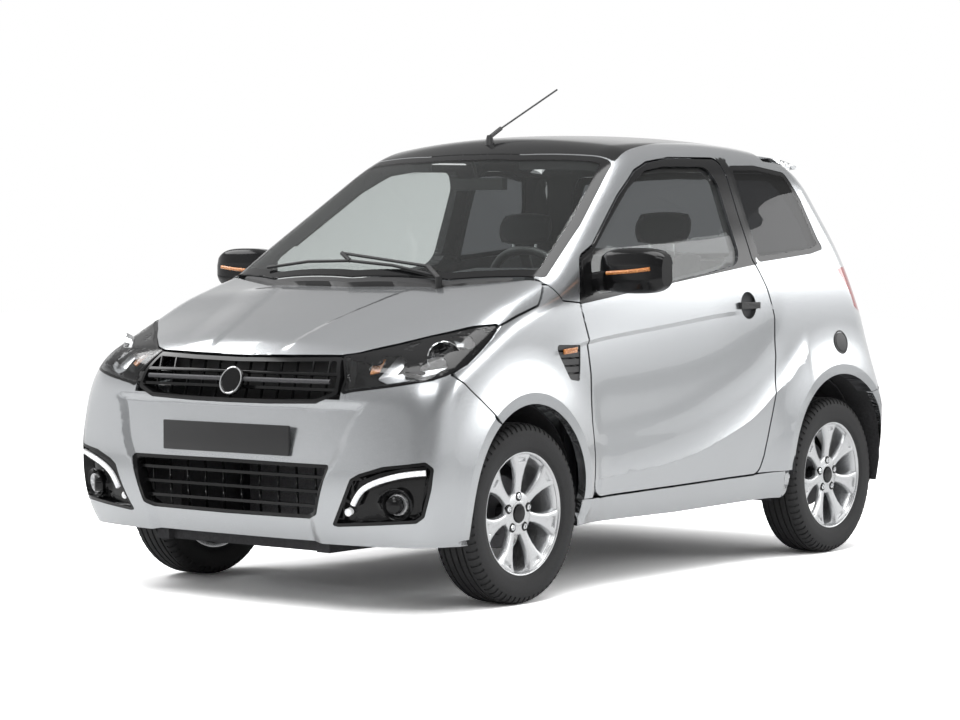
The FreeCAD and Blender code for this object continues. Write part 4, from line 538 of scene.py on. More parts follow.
def dress(node, name, outside, inside=None, body=None, top=full_z, level=0.0, longest=0.022, cuts=(),
          lines=(), sort=(), to_edge=False, flush=None, lip=True):
    """Copy a panel, lay its outside on the finished skin and shade it from the formula."""
    piece = copy_of(node, name)
    mesh = piece.data
    depth = plain if lip else depth_inside

    def is_outer(p, reach):
        return (np.abs(depth(p, top) - level) < reach) if lip else (depth(p, top) < reach)

    refine(mesh, is_outer, longest, cuts, lines)
    centres = read(mesh.polygons, "center")
    p = points_of(mesh)
    base, skin = depth(p, top), is_outer(p, OUTER)
    rise = slope(p, top, shape=depth_inside)
    size = np.maximum(np.linalg.norm(rise, axis=1), 0.75)
    follow = pressed(p[:, 0], p[:, 1], p[:, 2]) - (arch_band(p[:, 0], p[:, 1], p[:, 2]) if lip else 0)
    follow = follow * (1 - ramp((base - 0.010) / 0.030))
    follow[np.hypot(p[:, 0] - PIN_X, np.abs(p[:, 1]) - PIN_Y) < 0.020] = 0
    wanted = np.where(skin, finished(p, top) - level, follow)
    if flush:
        proud = flush(p[:, 0], p[:, 1], p[:, 2]) & (base < -0.0010)
        wanted[proud] = base[proud] + 0.0008
    moved = p - rise * (wanted / size ** 2)[:, None]
    mesh.vertices.foreach_set("co", moved.ravel())
    mesh.update()
    only(piece)
    bpy.ops.object.shade_smooth_by_angle(angle=math.radians(30))
    vertex, square = shade_from_formula(mesh, moved, skin, top)
    index = np.zeros(len(mesh.polygons), dtype=int)
    mesh.materials.append(outside)
    if inside:
        mesh.materials.append(inside)
        index[depth_inside(centres, top) > 0.009 + level] = 1
    for slot, (material, test) in enumerate(sort, start=len(mesh.materials)):
        mesh.materials.append(material)
        index[test(centres[:, 0], centres[:, 1], centres[:, 2]) & (index == 0)] = slot
    mesh.polygons.foreach_set("material_index", index)
    if to_edge:
        measure_to_edge(mesh, moved, skin, vertex, square)
    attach(piece, body or "body")
    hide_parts(node)
    print(name, len(mesh.polygons), "faces")
    return piece


# %% [markdown]
# ## Painted panels and panes
# Doors, wings, bonnet and bumpers are steel or plastic skins. They could be drawn again from nothing,
# but the CAD panels already have their gaps and folds, so each one is dressed in turn. Small tests on a
# point's place say which faces belong to a black pillar, a handle or a cut edge, and which lines a
# crease runs along.

# %% Painted panels
belt_front, belt_rear = Vector((0.493, 0, 0.903)), Vector((-0.515, 0, 1.018))
belt_way = (belt_rear - belt_front).normalized()
belt_normal = Vector((-belt_way.z, 0, belt_way.x)) * -1


def above_belt(x, y, z):
    return z > belt_front.z + (x - belt_front.x) * (belt_rear.z - belt_front.z) / (belt_rear.x - belt_front.x)


def pillar(x, y, z):
    return above_belt(x, y, z) & (x > -0.556) & (x < -0.50) & (np.abs(y) > 0.50) & (z < 1.385)


def handle(x, y, z):
    """The door handle: its round recess, and the lever that stands out of the skin."""
    recess = np.hypot(x + 0.466, z - 0.884) < 0.0465
    lever = (np.abs(x + 0.466) < 0.095) & (np.abs(z - 0.884) < 0.035)
    return recess | (lever & (depth_inside(np.column_stack((x, y, z))) < -0.0015))


def cut_edge(x, y, z):
    """The cut edge of a panel, which lies under the skin."""
    return depth_inside(np.column_stack((x, y, z))) > 0.001


def hinge_cover(x, y, z):
    """The tailgate's hinge blocks, which lie flush under the real roof edge."""
    return (x > -0.89) & (x < -0.73) & (z > 1.40)


def over_shoulder(p):
    return np.where((p[:, 0] > -0.72) & (p[:, 0] < 0.80) & (np.abs(p[:, 1]) > 0.58),
                    p[:, 2] - shoulder(p[:, 0]), 1.0)


def over_sweep(p):
    return np.where((p[:, 0] > -0.90) & (p[:, 0] < 0.45) & (np.abs(p[:, 1]) > 0.58), p[:, 2] - sweep(p[:, 0]),
                    1.0)


def past_band(p):
    return np.where(np.abs(p[:, 1]) > 0.55, from_arch(p[:, 0], p[:, 2]) - 0.034, 1.0)


def past_band_foot(p):
    return np.where(np.abs(p[:, 1]) > 0.55, from_arch(p[:, 0], p[:, 2]) - 0.0473, 1.0)


def under_shoulder(p):
    return np.where(over_shoulder(p) < 0.5, over_shoulder(p) + 0.014, 1.0)


def past_ridge(p):
    return np.where(p[:, 0] > 0.78, np.abs(p[:, 1]) - ridge(p[:, 0]), 1.0)


def past_fold(p):
    return np.where(p[:, 0] > 1.1, np.abs(p[:, 1]) - fold(p[:, 2]), 1.0)


side_lines = (over_shoulder, under_shoulder, over_sweep)
band_lines = (past_band, past_band_foot)
dress("front_wings", "Wings", silver, lines=side_lines + band_lines)
for side in ("left", "right"):
    dress("side_frame_" + side, "Side_" + side, silver, trim, cuts=[(belt_front, belt_normal)],
          lines=side_lines + band_lines, sort=[(gloss_black, pillar)])
    dress("door_" + side, "Door_" + side, silver, trim, body="door_" + side, cuts=[(belt_front, belt_normal)],
          lines=side_lines, sort=[(satin_black, handle), (gloss_black, above_belt)])
    dress("door_glass_" + side, "Door_glass_" + side, door_glass, body="door_" + side, level=0.007,
          longest=0.03)
dress("roof_panel", "Roof", gloss_black, trim, flush=hinge_cover)
dress("bonnet", "Bonnet", silver, satin_black, body="bonnet", top=bonnet_z, longest=0.018,
      lines=(past_ridge,))
dress("tailgate", "Tailgate", silver, trim, body="tailgate", flush=hinge_cover)
dress("front_bumper", "Front_bumper", silver, satin_black, longest=0.018, lines=(past_fold,) + band_lines)
dress("rear_bumper", "Rear_bumper", silver, satin_black, lines=band_lines, sort=[(satin_black, cut_edge)],
      lip=False)
dress("sills", "Sills", silver, satin_black)
dress("windscreen", "Windscreen", screen_glass, top=cabin_z, longest=0.03, to_edge=True)
dress("quarter_windows", "Quarter_windows", dark_glass, level=0.001, longest=0.03, to_edge=True)
dress("tailgate_glass", "Tailgate_glass", rear_glass, body="tailgate", level=0.003, longest=0.03,
      to_edge=True)
dress("headlamp_lenses", "Headlamp_lenses", lamp_glass, to_edge=True)
dress("wing_vents", "Wing_vents", satin_black, level=0.003)
dress("scuttle", "Scuttle", satin_black, top=cabin_z, level=0.005)
for node in ("upper_grille", "lower_grille"):
    dress(node, node.capitalize(), gloss_black, level=0.002, longest=0.06)
dress("fog_lamps", "Fog_lamps", gloss_black, level=0.001, longest=0.06)
red_glass = grain(finish("red_lens", (0.30, 0.012, 0.012), 0.12, coat=1.0), 160, (0.26, 0.010, 0.010),
                  (0.38, 0.018, 0.018), rough=(0.08, 0.16))
dress("tail_lamps", "Tail_lamps", red_glass)

# %% [markdown]
# ## Finishes on the CAD nodes that keep their shape
# Chassis parts, drive, mirrors and the dashboard keep their CAD meshes and only get a finish.

# %% Assign finishes
def paint(node, material):
    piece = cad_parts[node]
    piece.data.materials.clear()
    piece.data.materials.append(material)


for node, material in {"door_mirror_left": gloss_black, "door_mirror_right": gloss_black,
                       "front_frame": underseal,
                       "rear_axle": dark_steel, "knuckle_left": dark_steel, "knuckle_right": dark_steel,
                       "floor_pan": underseal, "motor": dark_steel, "battery": underseal, "seat_bases": trim,
                       "dashboard": trim, "cabin_mirror": satin_black, "wiper": satin_black,
                       "headlamps": gloss_black, "aerial": satin_black}.items():
    paint(node, material)
print("nodes shown as they are:", [n for n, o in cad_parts.items() if not o.hide_render])

# %% [markdown]
# ## Wheels
# A wheel is lathed, as a real one is: outlines in width and radius are spun about the axle. The tyre has
# four grooves round it and notched shoulders. The alloy wheel has seven crowned spokes that widen into
# the rim, five bolts and a plain black cap. One wheel is made at the origin and copied to the four axles.

# %% Modelling helpers
def place_points(piece, points):
    for vertex, point in zip(piece.data.vertices, points):
        vertex.co = point


def lathe(name, outline, steps, turn=360.0):
    """Spin a closed outline of (along the axle, radius) pairs about the Y axis."""
    bpy.ops.mesh.primitive_circle_add(vertices=len(outline))
    piece = bpy.context.object
    piece.name = name
    place_points(piece, [(0, a, r) for a, r in outline])
    bpy.ops.object.mode_set(mode="EDIT")
    bpy.ops.mesh.select_all(action="SELECT")
    bpy.ops.mesh.spin(steps=steps, angle=math.radians(turn), center=(0, 0, 0), axis=(0, 1, 0))
    bpy.ops.mesh.select_all(action="SELECT")
    bpy.ops.mesh.remove_doubles(threshold=0.00001)
    bpy.ops.mesh.normals_make_consistent(inside=False)
    bpy.ops.object.mode_set(mode="OBJECT")
    return piece


def pick(piece, test):
    """Select the faces whose middle and normal pass the test, in edit mode."""
    only(piece)
    bpy.ops.object.mode_set(mode="EDIT")
    bpy.ops.mesh.select_mode(type="FACE")
    bpy.ops.mesh.select_all(action="DESELECT")
    bpy.ops.object.mode_set(mode="OBJECT")
    for face in piece.data.polygons:
        face.select = bool(test(face.center, face.normal))
    bpy.ops.object.mode_set(mode="EDIT")


def apply_all(piece):
    only(piece)
    for modifier in list(piece.modifiers):
        bpy.ops.object.modifier_apply(modifier=modifier.name)


def rounded(piece, width=0.002, segments=2, degrees=35):
    """Bevel the sharp edges and apply it."""
    bevel = piece.modifiers.new("Bevel", "BEVEL")
    bevel.width = width
    bevel.segments = segments
    bevel.limit_method = "ANGLE"
    bevel.angle_limit = math.radians(degrees)
    apply_all(piece)
    return piece


def settle(piece, material, body, degrees=32, replaces=()):
    """Bake the place into the mesh, shade it and hand it to its body."""
    only(piece)
    bpy.ops.object.transform_apply(location=True, rotation=True, scale=True)
    bpy.ops.object.shade_smooth_by_angle(angle=math.radians(degrees))
    if material:
        piece.data.materials.clear()
        piece.data.materials.append(material)
    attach(piece, body)
    if replaces:
        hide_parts(*replaces)
    return piece


def joined(name, pieces):
    only(*pieces)
    bpy.ops.object.join()
    pieces[0].name = name
    return pieces[0]


def twin(piece, name, matrix, flip=False):
    """A copy with its own mesh, carried there by the matrix."""
    made = piece.copy()
    made.data = piece.data.copy()
    made.name = name
    bpy.context.collection.objects.link(made)
    made.data.transform(matrix)
    if flip:
        made.data.flip_normals()
    return made


def block(name, low, high, edge=0.002):
    """A box with rounded edges between two corners."""
    low, high = Vector(low), Vector(high)
    bpy.ops.mesh.primitive_cube_add(size=1, location=(low + high) / 2)
    piece = bpy.context.object
    piece.name = name
    piece.scale = high - low
    bpy.ops.object.transform_apply(location=True, rotation=True, scale=True)
    return rounded(piece, edge) if edge else piece


mirror_y = Matrix.Scale(-1, 4, (0, 1, 0))
print("the right side is the left one scaled by", list(mirror_y.to_scale()))

# %% [markdown]
# ## Tyre
# A real tyre is moulded: grooves round the tread and notches in the shoulder. A stack of displaced
# cubes or a texture could stand in for them. Here the outline with its four grooves is spun, and every
# third face of the shoulder is pressed in with an inset, so the notches are real hollows that catch the
# light.

# %% Tyre
tread = []
for middle in (0.036, 0.012, -0.012, -0.036):
    tread += [(middle + 0.0032, 0.2745), (middle + 0.0022, 0.2675), (middle - 0.0022, 0.2675),
              (middle - 0.0032, 0.2745)]
wall = [(0.0600, 0.1785), (0.0672, 0.1850), (0.0700, 0.1950), (0.0712, 0.1962), (0.0745, 0.2080),
        (0.0766, 0.2240),
        (0.0772, 0.2320), (0.0764, 0.2420), (0.0742, 0.2520), (0.0708, 0.2600), (0.0655, 0.2664),
        (0.0580, 0.2710), (0.0480, 0.2738)]
outline = wall + tread + [(-a, r) for a, r in reversed(wall)] + [(-0.0500, 0.1830), (0.0500, 0.1830)]
steps = 204
tyre = lathe("Tyre_front_left", outline, steps)


def notch(centre, normal):
    radius = math.hypot(centre.x, centre.z)
    turn = int((math.atan2(centre.z, centre.x) / (2 * math.pi) + 1) * steps) % 3
    return turn == 0 and 0.0480 < abs(centre.y) < 0.0725 and radius > 0.255


pick(tyre, notch)
bpy.ops.mesh.inset(thickness=0.0006, depth=-0.0035)
bpy.ops.object.mode_set(mode="OBJECT")
print("tyre:", len(tyre.data.polygons), "faces")

# %% [markdown]
# ## Alloy wheel
# The rim is cast and turned: a barrel with its lips, a hub, and seven spokes that widen towards the
# barrel. One spoke is a grid laid through stations of radius, half width and height, given a wall and
# rounded, then copied round the axle. A boolean from a solid disc would leave hard edges that are poor
# to round.

# %% Alloy wheel
barrel = lathe("barrel", [(0.0668, 0.1888), (0.0680, 0.1868), (0.0672, 0.1835), (0.0640, 0.1805),
                          (0.0585, 0.1782),
                          (0.0540, 0.1735), (0.0400, 0.1690), (0.0100, 0.1620), (-0.0500, 0.1560),
                          (-0.0660, 0.1700),
                          (-0.0672, 0.1885), (-0.0620, 0.1885), (-0.0590, 0.1780), (-0.0250, 0.1770),
                          (-0.0150, 0.1695),
                          (0.0150, 0.1725), (0.0280, 0.1775), (0.0590, 0.1784), (0.0625, 0.1888)], 96)
rounded(barrel, 0.0008, 1, 25)
stations = [(0.040, 0.0240, 0.0455), (0.062, 0.0190, 0.0475), (0.085, 0.0172, 0.0505),
            (0.112, 0.0205, 0.0545),
            (0.136, 0.0275, 0.0580), (0.156, 0.0375, 0.0605), (0.171, 0.0475, 0.0628),
            (0.1795, 0.0530, 0.0640)]
across = [(-1.0, -0.0165), (-0.80, -0.0022), (-0.42, 0.0), (0.42, 0.0), (0.80, -0.0022), (1.0, -0.0165)]
bpy.ops.mesh.primitive_grid_add(x_subdivisions=len(across) - 1, y_subdivisions=len(stations) - 1)
spoke = bpy.context.object
points = []
for radius, half, front in stations:
    points += [(half * u, front + drop, radius) for u, drop in across]
place_points(spoke, points)


def pocket(centre, normal):
    return centre.z > 0.150 and centre.z < 0.172 and abs(centre.x) < 0.40 * 0.045 and normal.y > 0.8


pick(spoke, lambda centre, normal: True)
bpy.ops.mesh.normals_make_consistent(inside=False)
bpy.ops.object.mode_set(mode="OBJECT")
if spoke.data.polygons[0].normal.y < 0:
    spoke.data.flip_normals()
pick(spoke, pocket)
bpy.ops.mesh.inset(thickness=0.0035, depth=-0.007)
bpy.ops.object.mode_set(mode="OBJECT")
wall = spoke.modifiers.new("Wall", "SOLIDIFY")
wall.thickness = 0.006
wall.offset = -1
apply_all(spoke)
rounded(spoke, 0.0016, 2, 30)
spokes = [spoke] + [twin(spoke, "spoke", Matrix.Rotation(2 * math.pi * i / 7, 4, "Y")) for i in range(1, 7)]
hub = lathe("hub", [(0.0300, 0.0010), (0.0300, 0.0640), (0.0380, 0.0670), (0.0450, 0.0650), (0.0475, 0.0600),
                    (0.0480, 0.0380), (0.0500, 0.0360), (0.0500, 0.0300), (0.0470, 0.0290), (0.0470, 0.0010)],
            56)
rounded(hub, 0.0010, 2, 30)
rim = joined("Rim_front_left", [barrel, hub] + spokes)
bore = lathe("bore", [(0.0484, 0.0005), (0.0484, 0.0142), (0.0478, 0.0148), (0.0420, 0.0148),
                      (0.0420, 0.0005)], 24)
head = lathe("head", [(0.0400, 0.0005), (0.0400, 0.0098), (0.0500, 0.0096), (0.0520, 0.0080),
                      (0.0520, 0.0052), (0.0495, 0.0046), (0.0495, 0.0005)], 6)
cap = lathe("cap", [(0.0460, 0.0005), (0.0460, 0.0284), (0.0508, 0.0280), (0.0530, 0.0255), (0.0542, 0.0120),
                    (0.0545, 0.0005)], 40)
bolts, wells = [], []
for i in range(5):
    shift = Matrix.Rotation(2 * math.pi * i / 5, 4, "Y") @ Matrix.Translation((0, 0, 0.0510))
    bolts.append(twin(head, "bolt", shift))
    wells.append(twin(bore, "well", shift))
for piece in (bore, head):
    bpy.data.objects.remove(piece)
bolt_set = joined("Wheel_bolts_front_left", bolts)
cap_set = joined("Wheel_cap_front_left", [cap] + wells)
print("alloy wheel:", len(rim.data.polygons), "faces")

# %% [markdown]
# ## Four wheels on their axles
# All four wheels of the car are the same. The finished tyre, rim, bolts and cap are copied with their
# own meshes to each axle, turned round for the right side, and a brake disc is lathed behind each.
# Linked copies would be lighter, but every wheel rides on a body of its own.

# %% Put the four wheels on
for end, x in (("front", FRONT_AXLE), ("rear", REAR_AXLE)):
    for side, sign in (("left", 1), ("right", -1)):
        place = Matrix.Translation((x, sign * 0.6335, AXLE_Z))
        if sign < 0:
            place = place @ Matrix.Rotation(math.pi, 4, "Z")
        corner = end + "_" + side
        for piece, label, material, slot, gone in (
                (tyre, "Tyre_", rubber, "tyre", ("tyre_" + corner,)),
                                                   (rim, "Rim_", alloy, "alloy", ("rim_" + corner,)),
                (bolt_set, "Wheel_bolts_", bright_metal, "alloy", ()),
                                                   (cap_set, "Wheel_cap_", gloss_black, "gloss_black", ())):
            made = twin(piece, "x", place)
            settle(made, material, "wheel_" + corner, 30, gone)
            made.name = label + corner
        disc = lathe("disc", [(-0.0380, 0.0300), (-0.0380, 0.1120), (-0.0270, 0.1120), (-0.0270, 0.0700),
                              (-0.0200, 0.0680), (-0.0200, 0.0300)], 64)
        disc.data.transform(place)
        settle(disc, dark_steel, "wheel_" + corner).name = "Brake_disc_" + corner
for piece in (tyre, rim, bolt_set, cap_set):
    bpy.data.objects.remove(piece)

# %% [markdown]
# ## Cabin
# Two seats with a cushion, a backrest and a headrest each, a steering wheel with three spokes, and the
# things a passer-by sees through the glass.

# %% Seats
cloth = grain(finish("seat_cloth", (0.035, 0.036, 0.040), 0.9, sheen=0.3), 420, (0.026, 0.027, 0.030),
              (0.055, 0.056, 0.062), bump=0.5, distance=0.0008, rough=(0.82, 0.97))


def cushion(name, low, high, crown, waist, lean=0.0, foot=None):
    """A crowned, closed pad between two corners, with its sides drawn in and its faces blown up a little."""
    low, high = Vector(low), Vector(high)
    bpy.ops.mesh.primitive_cube_add(size=2)
    piece = bpy.context.object
    piece.name = name
    bpy.ops.object.mode_set(mode="EDIT")
    bpy.ops.mesh.subdivide(number_cuts=5)
    bpy.ops.object.mode_set(mode="OBJECT")
    middle, half = (low + high) / 2, (high - low) / 2
    for vertex in piece.data.vertices:
        u = vertex.co.copy()
        bulge = [crown[i] * (1 - u[(i + 1) % 3] ** 2) * (1 - u[(i + 2) % 3] ** 2) for i in range(3)]
        pull = [waist * (u[(i + 1) % 3] ** 4) * (u[(i + 2) % 3] ** 4) for i in range(3)]
        p = Vector([middle[i] + u[i] * (half[i] - crown[i] + bulge[i] - pull[i]) for i in range(3)])
        if foot:
            p.x -= lean * (p.z - foot)
        vertex.co = p
    return piece


def inflate(piece, voxel=0.007, pressure=4.0, cap=0.010, frames=14):
    """Blow a pad up as cloth and keep each point within cap of where it was."""
    only(piece)
    remesh = piece.modifiers.new("Remesh", "REMESH")
    remesh.mode = "VOXEL"
    remesh.voxel_size = voxel
    apply_all(piece)
    start = points_of(piece.data)
    sim = piece.modifiers.new("Cloth", "CLOTH")
    sim.settings.use_pressure = True
    sim.settings.uniform_pressure_force = pressure
    sim.settings.effector_weights.gravity = 0
    sim.point_cache.frame_start, sim.point_cache.frame_end = 1, frames
    for number in range(1, frames + 1):
        bpy.context.scene.frame_set(number)
    apply_all(piece)
    bpy.context.scene.frame_set(1)
    move = points_of(piece.data) - start
    far = np.linalg.norm(move, axis=1)
    move *= (np.minimum(far, cap) / np.maximum(far, 1e-9))[:, None]
    piece.data.vertices.foreach_set("co", (start + move).ravel())
    piece.data.update()
    return piece


seat_low, seat_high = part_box("seats")
print("seats:", [round(v, 3) for v in (*seat_low, *seat_high)])
pads = [
    cushion("Seat_cushion_left", (-0.430, 0.155, 0.410), (0.062, 0.445, 0.545), (0.006, 0.006, 0.030), 0.006),
    cushion("Seat_backrest_left", (-0.500, 0.150, 0.490), (-0.400, 0.450, 1.075), (0.022, 0.010, 0.015),
            0.012, 0.20, 0.490),
    cushion("Seat_headrest_left", (-0.560, 0.190, 1.090), (-0.490, 0.410, 1.205), (0.014, 0.006, 0.008),
            0.016, 0.20, 1.090),
    cushion("Seat_bolster_in_left", (-0.490, 0.085, 0.500), (-0.365, 0.160, 0.960), (0.015, 0.012, 0.02),
            0.02, 0.20, 0.490),
    cushion("Seat_bolster_out_left", (-0.490, 0.440, 0.500), (-0.365, 0.515, 0.960), (0.015, 0.012, 0.02),
            0.02, 0.20, 0.490),
    cushion("Seat_wing_in_left", (-0.420, 0.085, 0.420), (0.040, 0.165, 0.550), (0.010, 0.010, 0.02), 0.015),
    cushion("Seat_wing_out_left", (-0.420, 0.435, 0.420), (0.040, 0.515, 0.550), (0.010, 0.010, 0.02), 0.015)]
for number, pad in enumerate(pads):
    inflate(pad)
    smooth = pad.modifiers.new("Smooth", "SUBSURF")
    smooth.levels = smooth.render_levels = 1
    apply_all(pad)
    other = twin(pad, pad.name.replace("left", "right"), mirror_y, flip=True)
    for piece in (pad, other):
        settle(piece, cloth, "body", 180, ("seats",))
for side, sign in (("left", 1), ("right", -1)):
    posts = []
    for shift in (-0.05, 0.05):
        bpy.ops.mesh.primitive_cylinder_add(vertices=20, radius=0.006, depth=0.12,
                                            location=(-0.603 + 0.07, sign * 0.3 + shift, 1.075))
        posts.append(bpy.context.object)
    settle(rounded(joined("Headrest_posts_" + side, posts), 0.001), bright_metal, "body")

# %% [markdown]
# ## Steering wheel
# The real one is a padded ring on three arms with an airbag cover in the middle. A ring, a lathed cover
# and three rounded arms are built flat at the origin and then carried to the column, which is easier
# than building them at a slant. It turns with the front wheels.

# %% Steering wheel
hub_place = Vector((0.072 * LENGTH, 0.300, 0.622 * HEIGHT))
tilt = math.radians(26)
column = Vector((math.cos(tilt), 0, -math.sin(tilt)))
turn_to = Vector((0, 1, 0)).rotation_difference(column).to_matrix().to_4x4()
seat_of_wheel = Matrix.Translation(hub_place) @ turn_to
bpy.ops.mesh.primitive_torus_add(major_segments=72, minor_segments=18, major_radius=0.174,
                                 minor_radius=0.0145, rotation=(math.pi / 2, 0, 0))
ring = bpy.context.object
bpy.ops.object.transform_apply(location=True, rotation=True, scale=True)
pieces = [ring]
pad = lathe("pad", [(-0.020, 0.0005), (-0.019, 0.030), (-0.013, 0.055), (0.000, 0.062), (0.018, 0.050),
                    (0.020, 0.0005)], 48)
pieces.append(rounded(pad, 0.003, 3, 20))
up_on_wheel = turn_to.inverted() @ Vector((0, 1, 0)).cross(column)
for degrees in (0, 180, 270):
    angle = math.radians(degrees)
    way = (turn_to.inverted() @ Vector((0, 1, 0))) * math.cos(angle) + up_on_wheel * math.sin(angle)
    arm = block("arm", (0.045, -0.006, -0.020), (0.170, 0.004, 0.020), 0.004)
    arm.data.transform(Vector((1, 0, 0)).rotation_difference(way).to_matrix().to_4x4())
    pieces.append(arm)
wheel = joined("Steering_wheel", pieces)
wheel.data.transform(seat_of_wheel)
settle(wheel, satin_black, "steering_wheel", 40, ("steering_wheel",))
print("steering wheel:", len(wheel.data.polygons), "faces")

# %% [markdown]
# ## Lamps, grilles and small outside pieces
# The headlamp's inside shows through its clear lens: a round reflector with its bulb, an orange indicator
# and a silver strip. Small things that a CAD model leaves out sit on the skin, each found with the formula.

# %% [markdown]
# ## Finding places on the skin
# Lamps, plates and caps sit on a doubly curved body. They could be placed by hand and shrinkwrapped,
# but the skin's formula gives both the exact place and the way out of it, so a small piece lies flush
# and faces outwards.

# %% Points on the skin
def on_skin(x, z, side=1, lift=0.0):
    """The point of the finished side skin at x and z, and the way out of it."""
    y = np.array([0.75])
    for _ in range(30):
        p = np.array([[x, y[0] * 1.0, z]])
        y = y + finished(p, full_z)
    p = np.array([[x, y[0], z]])
    out = -slope(p, full_z)[0]
    out /= np.linalg.norm(out)
    place = p[0] + out * lift
    return Vector((place[0], side * place[1], place[2])), Vector((out[0], side * out[1], out[2]))


def on_nose(y, z, lift=0.0):
    x = np.array([1.36])
    for _ in range(30):
        p = np.array([[x[0], abs(y), z]])
        x = x + finished(p, full_z)
    p = np.array([[x[0], abs(y), z]])
    out = -slope(p, full_z)[0]
    out /= np.linalg.norm(out)
    place = p[0] + out * lift
    sign = 1 if y >= 0 else -1
    return Vector((place[0], sign * place[1], place[2])), Vector((out[0], sign * out[1], out[2]))


def facing(way):
    """Rotation that turns the Y axis to that way."""
    return Vector((0, 1, 0)).rotation_difference(way).to_matrix().to_4x4()


print("skin at the handle:", [round(v, 4) for v in on_skin(-0.466, 0.884)[0]])

# %% [markdown]
# ## Plates and rods
# Light guides, bars and trims are mostly thin plates or round rods bent along the body. A plate is an
# outline sunk to one depth under the skin and given a wall. A rod is a bevelled curve turned into a
# mesh. Both keep their thickness along the bend, which scaled cubes wouldn't.

# %% Plates, rods and discs on the skin
def sunk(points, deep):
    """The nearest points that lie that deep under the finished skin."""
    p = np.array(points, float)
    for _ in range(8):
        rise = slope(p, full_z)
        p = p - rise * ((finished(p, full_z) - deep) / np.linalg.norm(rise, axis=1) ** 2)[:, None]
    return p


def plate_through(name, points, thick, edge=0.0012):
    """A flat plate with rounded edges through points, as thick as that."""
    bpy.ops.mesh.primitive_circle_add(vertices=len(points), fill_type="NGON")
    piece = bpy.context.object
    piece.name = name
    place_points(piece, [tuple(q) for q in points])
    wall = piece.modifiers.new("Wall", "SOLIDIFY")
    wall.thickness = thick
    wall.offset = 0
    apply_all(piece)
    pick(piece, lambda centre, normal: True)
    bpy.ops.mesh.normals_make_consistent(inside=False)
    bpy.ops.object.mode_set(mode="OBJECT")
    return rounded(piece, edge, 2)


def rod(name, points, radius):
    """A round rod through points, from a bevelled curve made a mesh."""
    line = bpy.data.curves.new(name, "CURVE")
    line.dimensions = "3D"
    line.bevel_depth = radius
    line.bevel_resolution = 5
    line.use_fill_caps = True
    path = line.splines.new("NURBS")
    path.points.add(len(points) - 1)
    for point, q in zip(path.points, points):
        point.co = (*q, 1)
    path.order_u = 3
    path.use_endpoint_u = True
    path.resolution_u = 8
    piece = bpy.data.objects.new(name, line)
    bpy.context.collection.objects.link(piece)
    only(piece)
    bpy.ops.object.convert(target="MESH")
    pick(piece, lambda centre, normal: True)
    bpy.ops.mesh.remove_doubles(threshold=0.00002)
    bpy.ops.mesh.normals_make_consistent(inside=False)
    bpy.ops.object.mode_set(mode="OBJECT")
    return bpy.context.object


def both_sides(piece, material, body, degrees=32):
    """Keep the left piece and add its mirror image on the right."""
    other = twin(piece, piece.name.replace("left", "right"), mirror_y, flip=True)
    settle(piece, material, body, degrees)
    settle(other, material, body.replace("left", "right"), degrees)


# %% [markdown]
# ## Headlamp insides
# Behind the clear lens sit a reflector with its bulb, an orange turn signal, an angled light strip and
# a brow. The reflector is lathed with few steps, so its facets show as they do in a pressed bowl. The
# others are plates at their own depth under the lens. A flat picture behind the lens would look painted
# on from the side.

# %% Headlamp insides
orange = grain(finish("orange_lens", (0.62, 0.20, 0.04), 0.25, coat=1.0), 260, (0.42, 0.11, 0.02),
               (0.80, 0.34, 0.10), rough=(0.15, 0.30), kind="CELLS")
lamp_pattern = grain(finish("lamp_pattern", (0.80, 0.81, 0.83), 0.15, 0.35, coat=1.0), 110,
                     (0.55, 0.56, 0.58),
                     (0.95, 0.95, 0.96), bump=0.4, distance=0.002, rough=(0.08, 0.2), kind="CELLS")
mirror_coat = grain(finish("reflector_coat", (0.80, 0.81, 0.82), 0.08, 1.0), 90, (0.70, 0.71, 0.72),
                    (0.90, 0.91, 0.92), bump=0.35, distance=0.002, rough=(0.05, 0.14), kind="CELLS")
corner_way = Vector((math.cos(math.radians(50)), math.sin(math.radians(50)), 0.10)).normalized()
lamp_place = Vector(sunk([(1.140, 0.668, 0.760)], 0.012)[0]) - corner_way * 0.012
bowl = lathe("bowl", [(-0.042, 0.012), (-0.030, 0.028), (-0.012, 0.041), (0.002, 0.0475), (0.006, 0.0500),
                      (0.003, 0.0525), (-0.016, 0.0450), (-0.034, 0.030), (-0.046, 0.014)], 18)
bulb = lathe("bulb", [(-0.044, 0.0004), (-0.044, 0.009), (-0.012, 0.009), (-0.004, 0.006), (-0.002, 0.0004)],
             18)
for piece in (bowl, bulb):
    piece.data.transform(Matrix.Translation(lamp_place) @ facing(corner_way))
both_sides(joined("Headlamp_reflector_left", [bowl, bulb]), mirror_coat, "body", 8)
turn_signal = sunk([(1.222, 0.464, 0.745), (1.203, 0.496, 0.749), (1.247, 0.507, 0.712),
                    (1.262, 0.482, 0.708)], 0.018)
both_sides(plate_through("Indicator_left", turn_signal, 0.006, 0.002), orange, "body")
upper_arm = sunk([(1.128, 0.570, 0.778), (1.160, 0.528, 0.770), (1.268, 0.520, 0.694), (1.240, 0.568, 0.700)],
                 0.013)
lower_arm = sunk([(1.240, 0.568, 0.702), (1.268, 0.520, 0.692), (1.268, 0.560, 0.678), (1.172, 0.684, 0.712),
                  (1.152, 0.684, 0.724)], 0.014)
strip = joined("Lamp_strip_left",
               [plate_through("upper", upper_arm, 0.004), plate_through("lower", lower_arm, 0.004)])
both_sides(strip, alloy, "body")
brow = sunk([(1.060, 0.636, 0.806), (1.050, 0.668, 0.796), (1.092, 0.694, 0.752), (1.104, 0.690, 0.756),
             (1.078, 0.664, 0.790)], 0.012)
both_sides(plate_through("Lamp_brow_left", brow, 0.003), alloy, "body")
print("reflector at", [round(v, 3) for v in lamp_place])

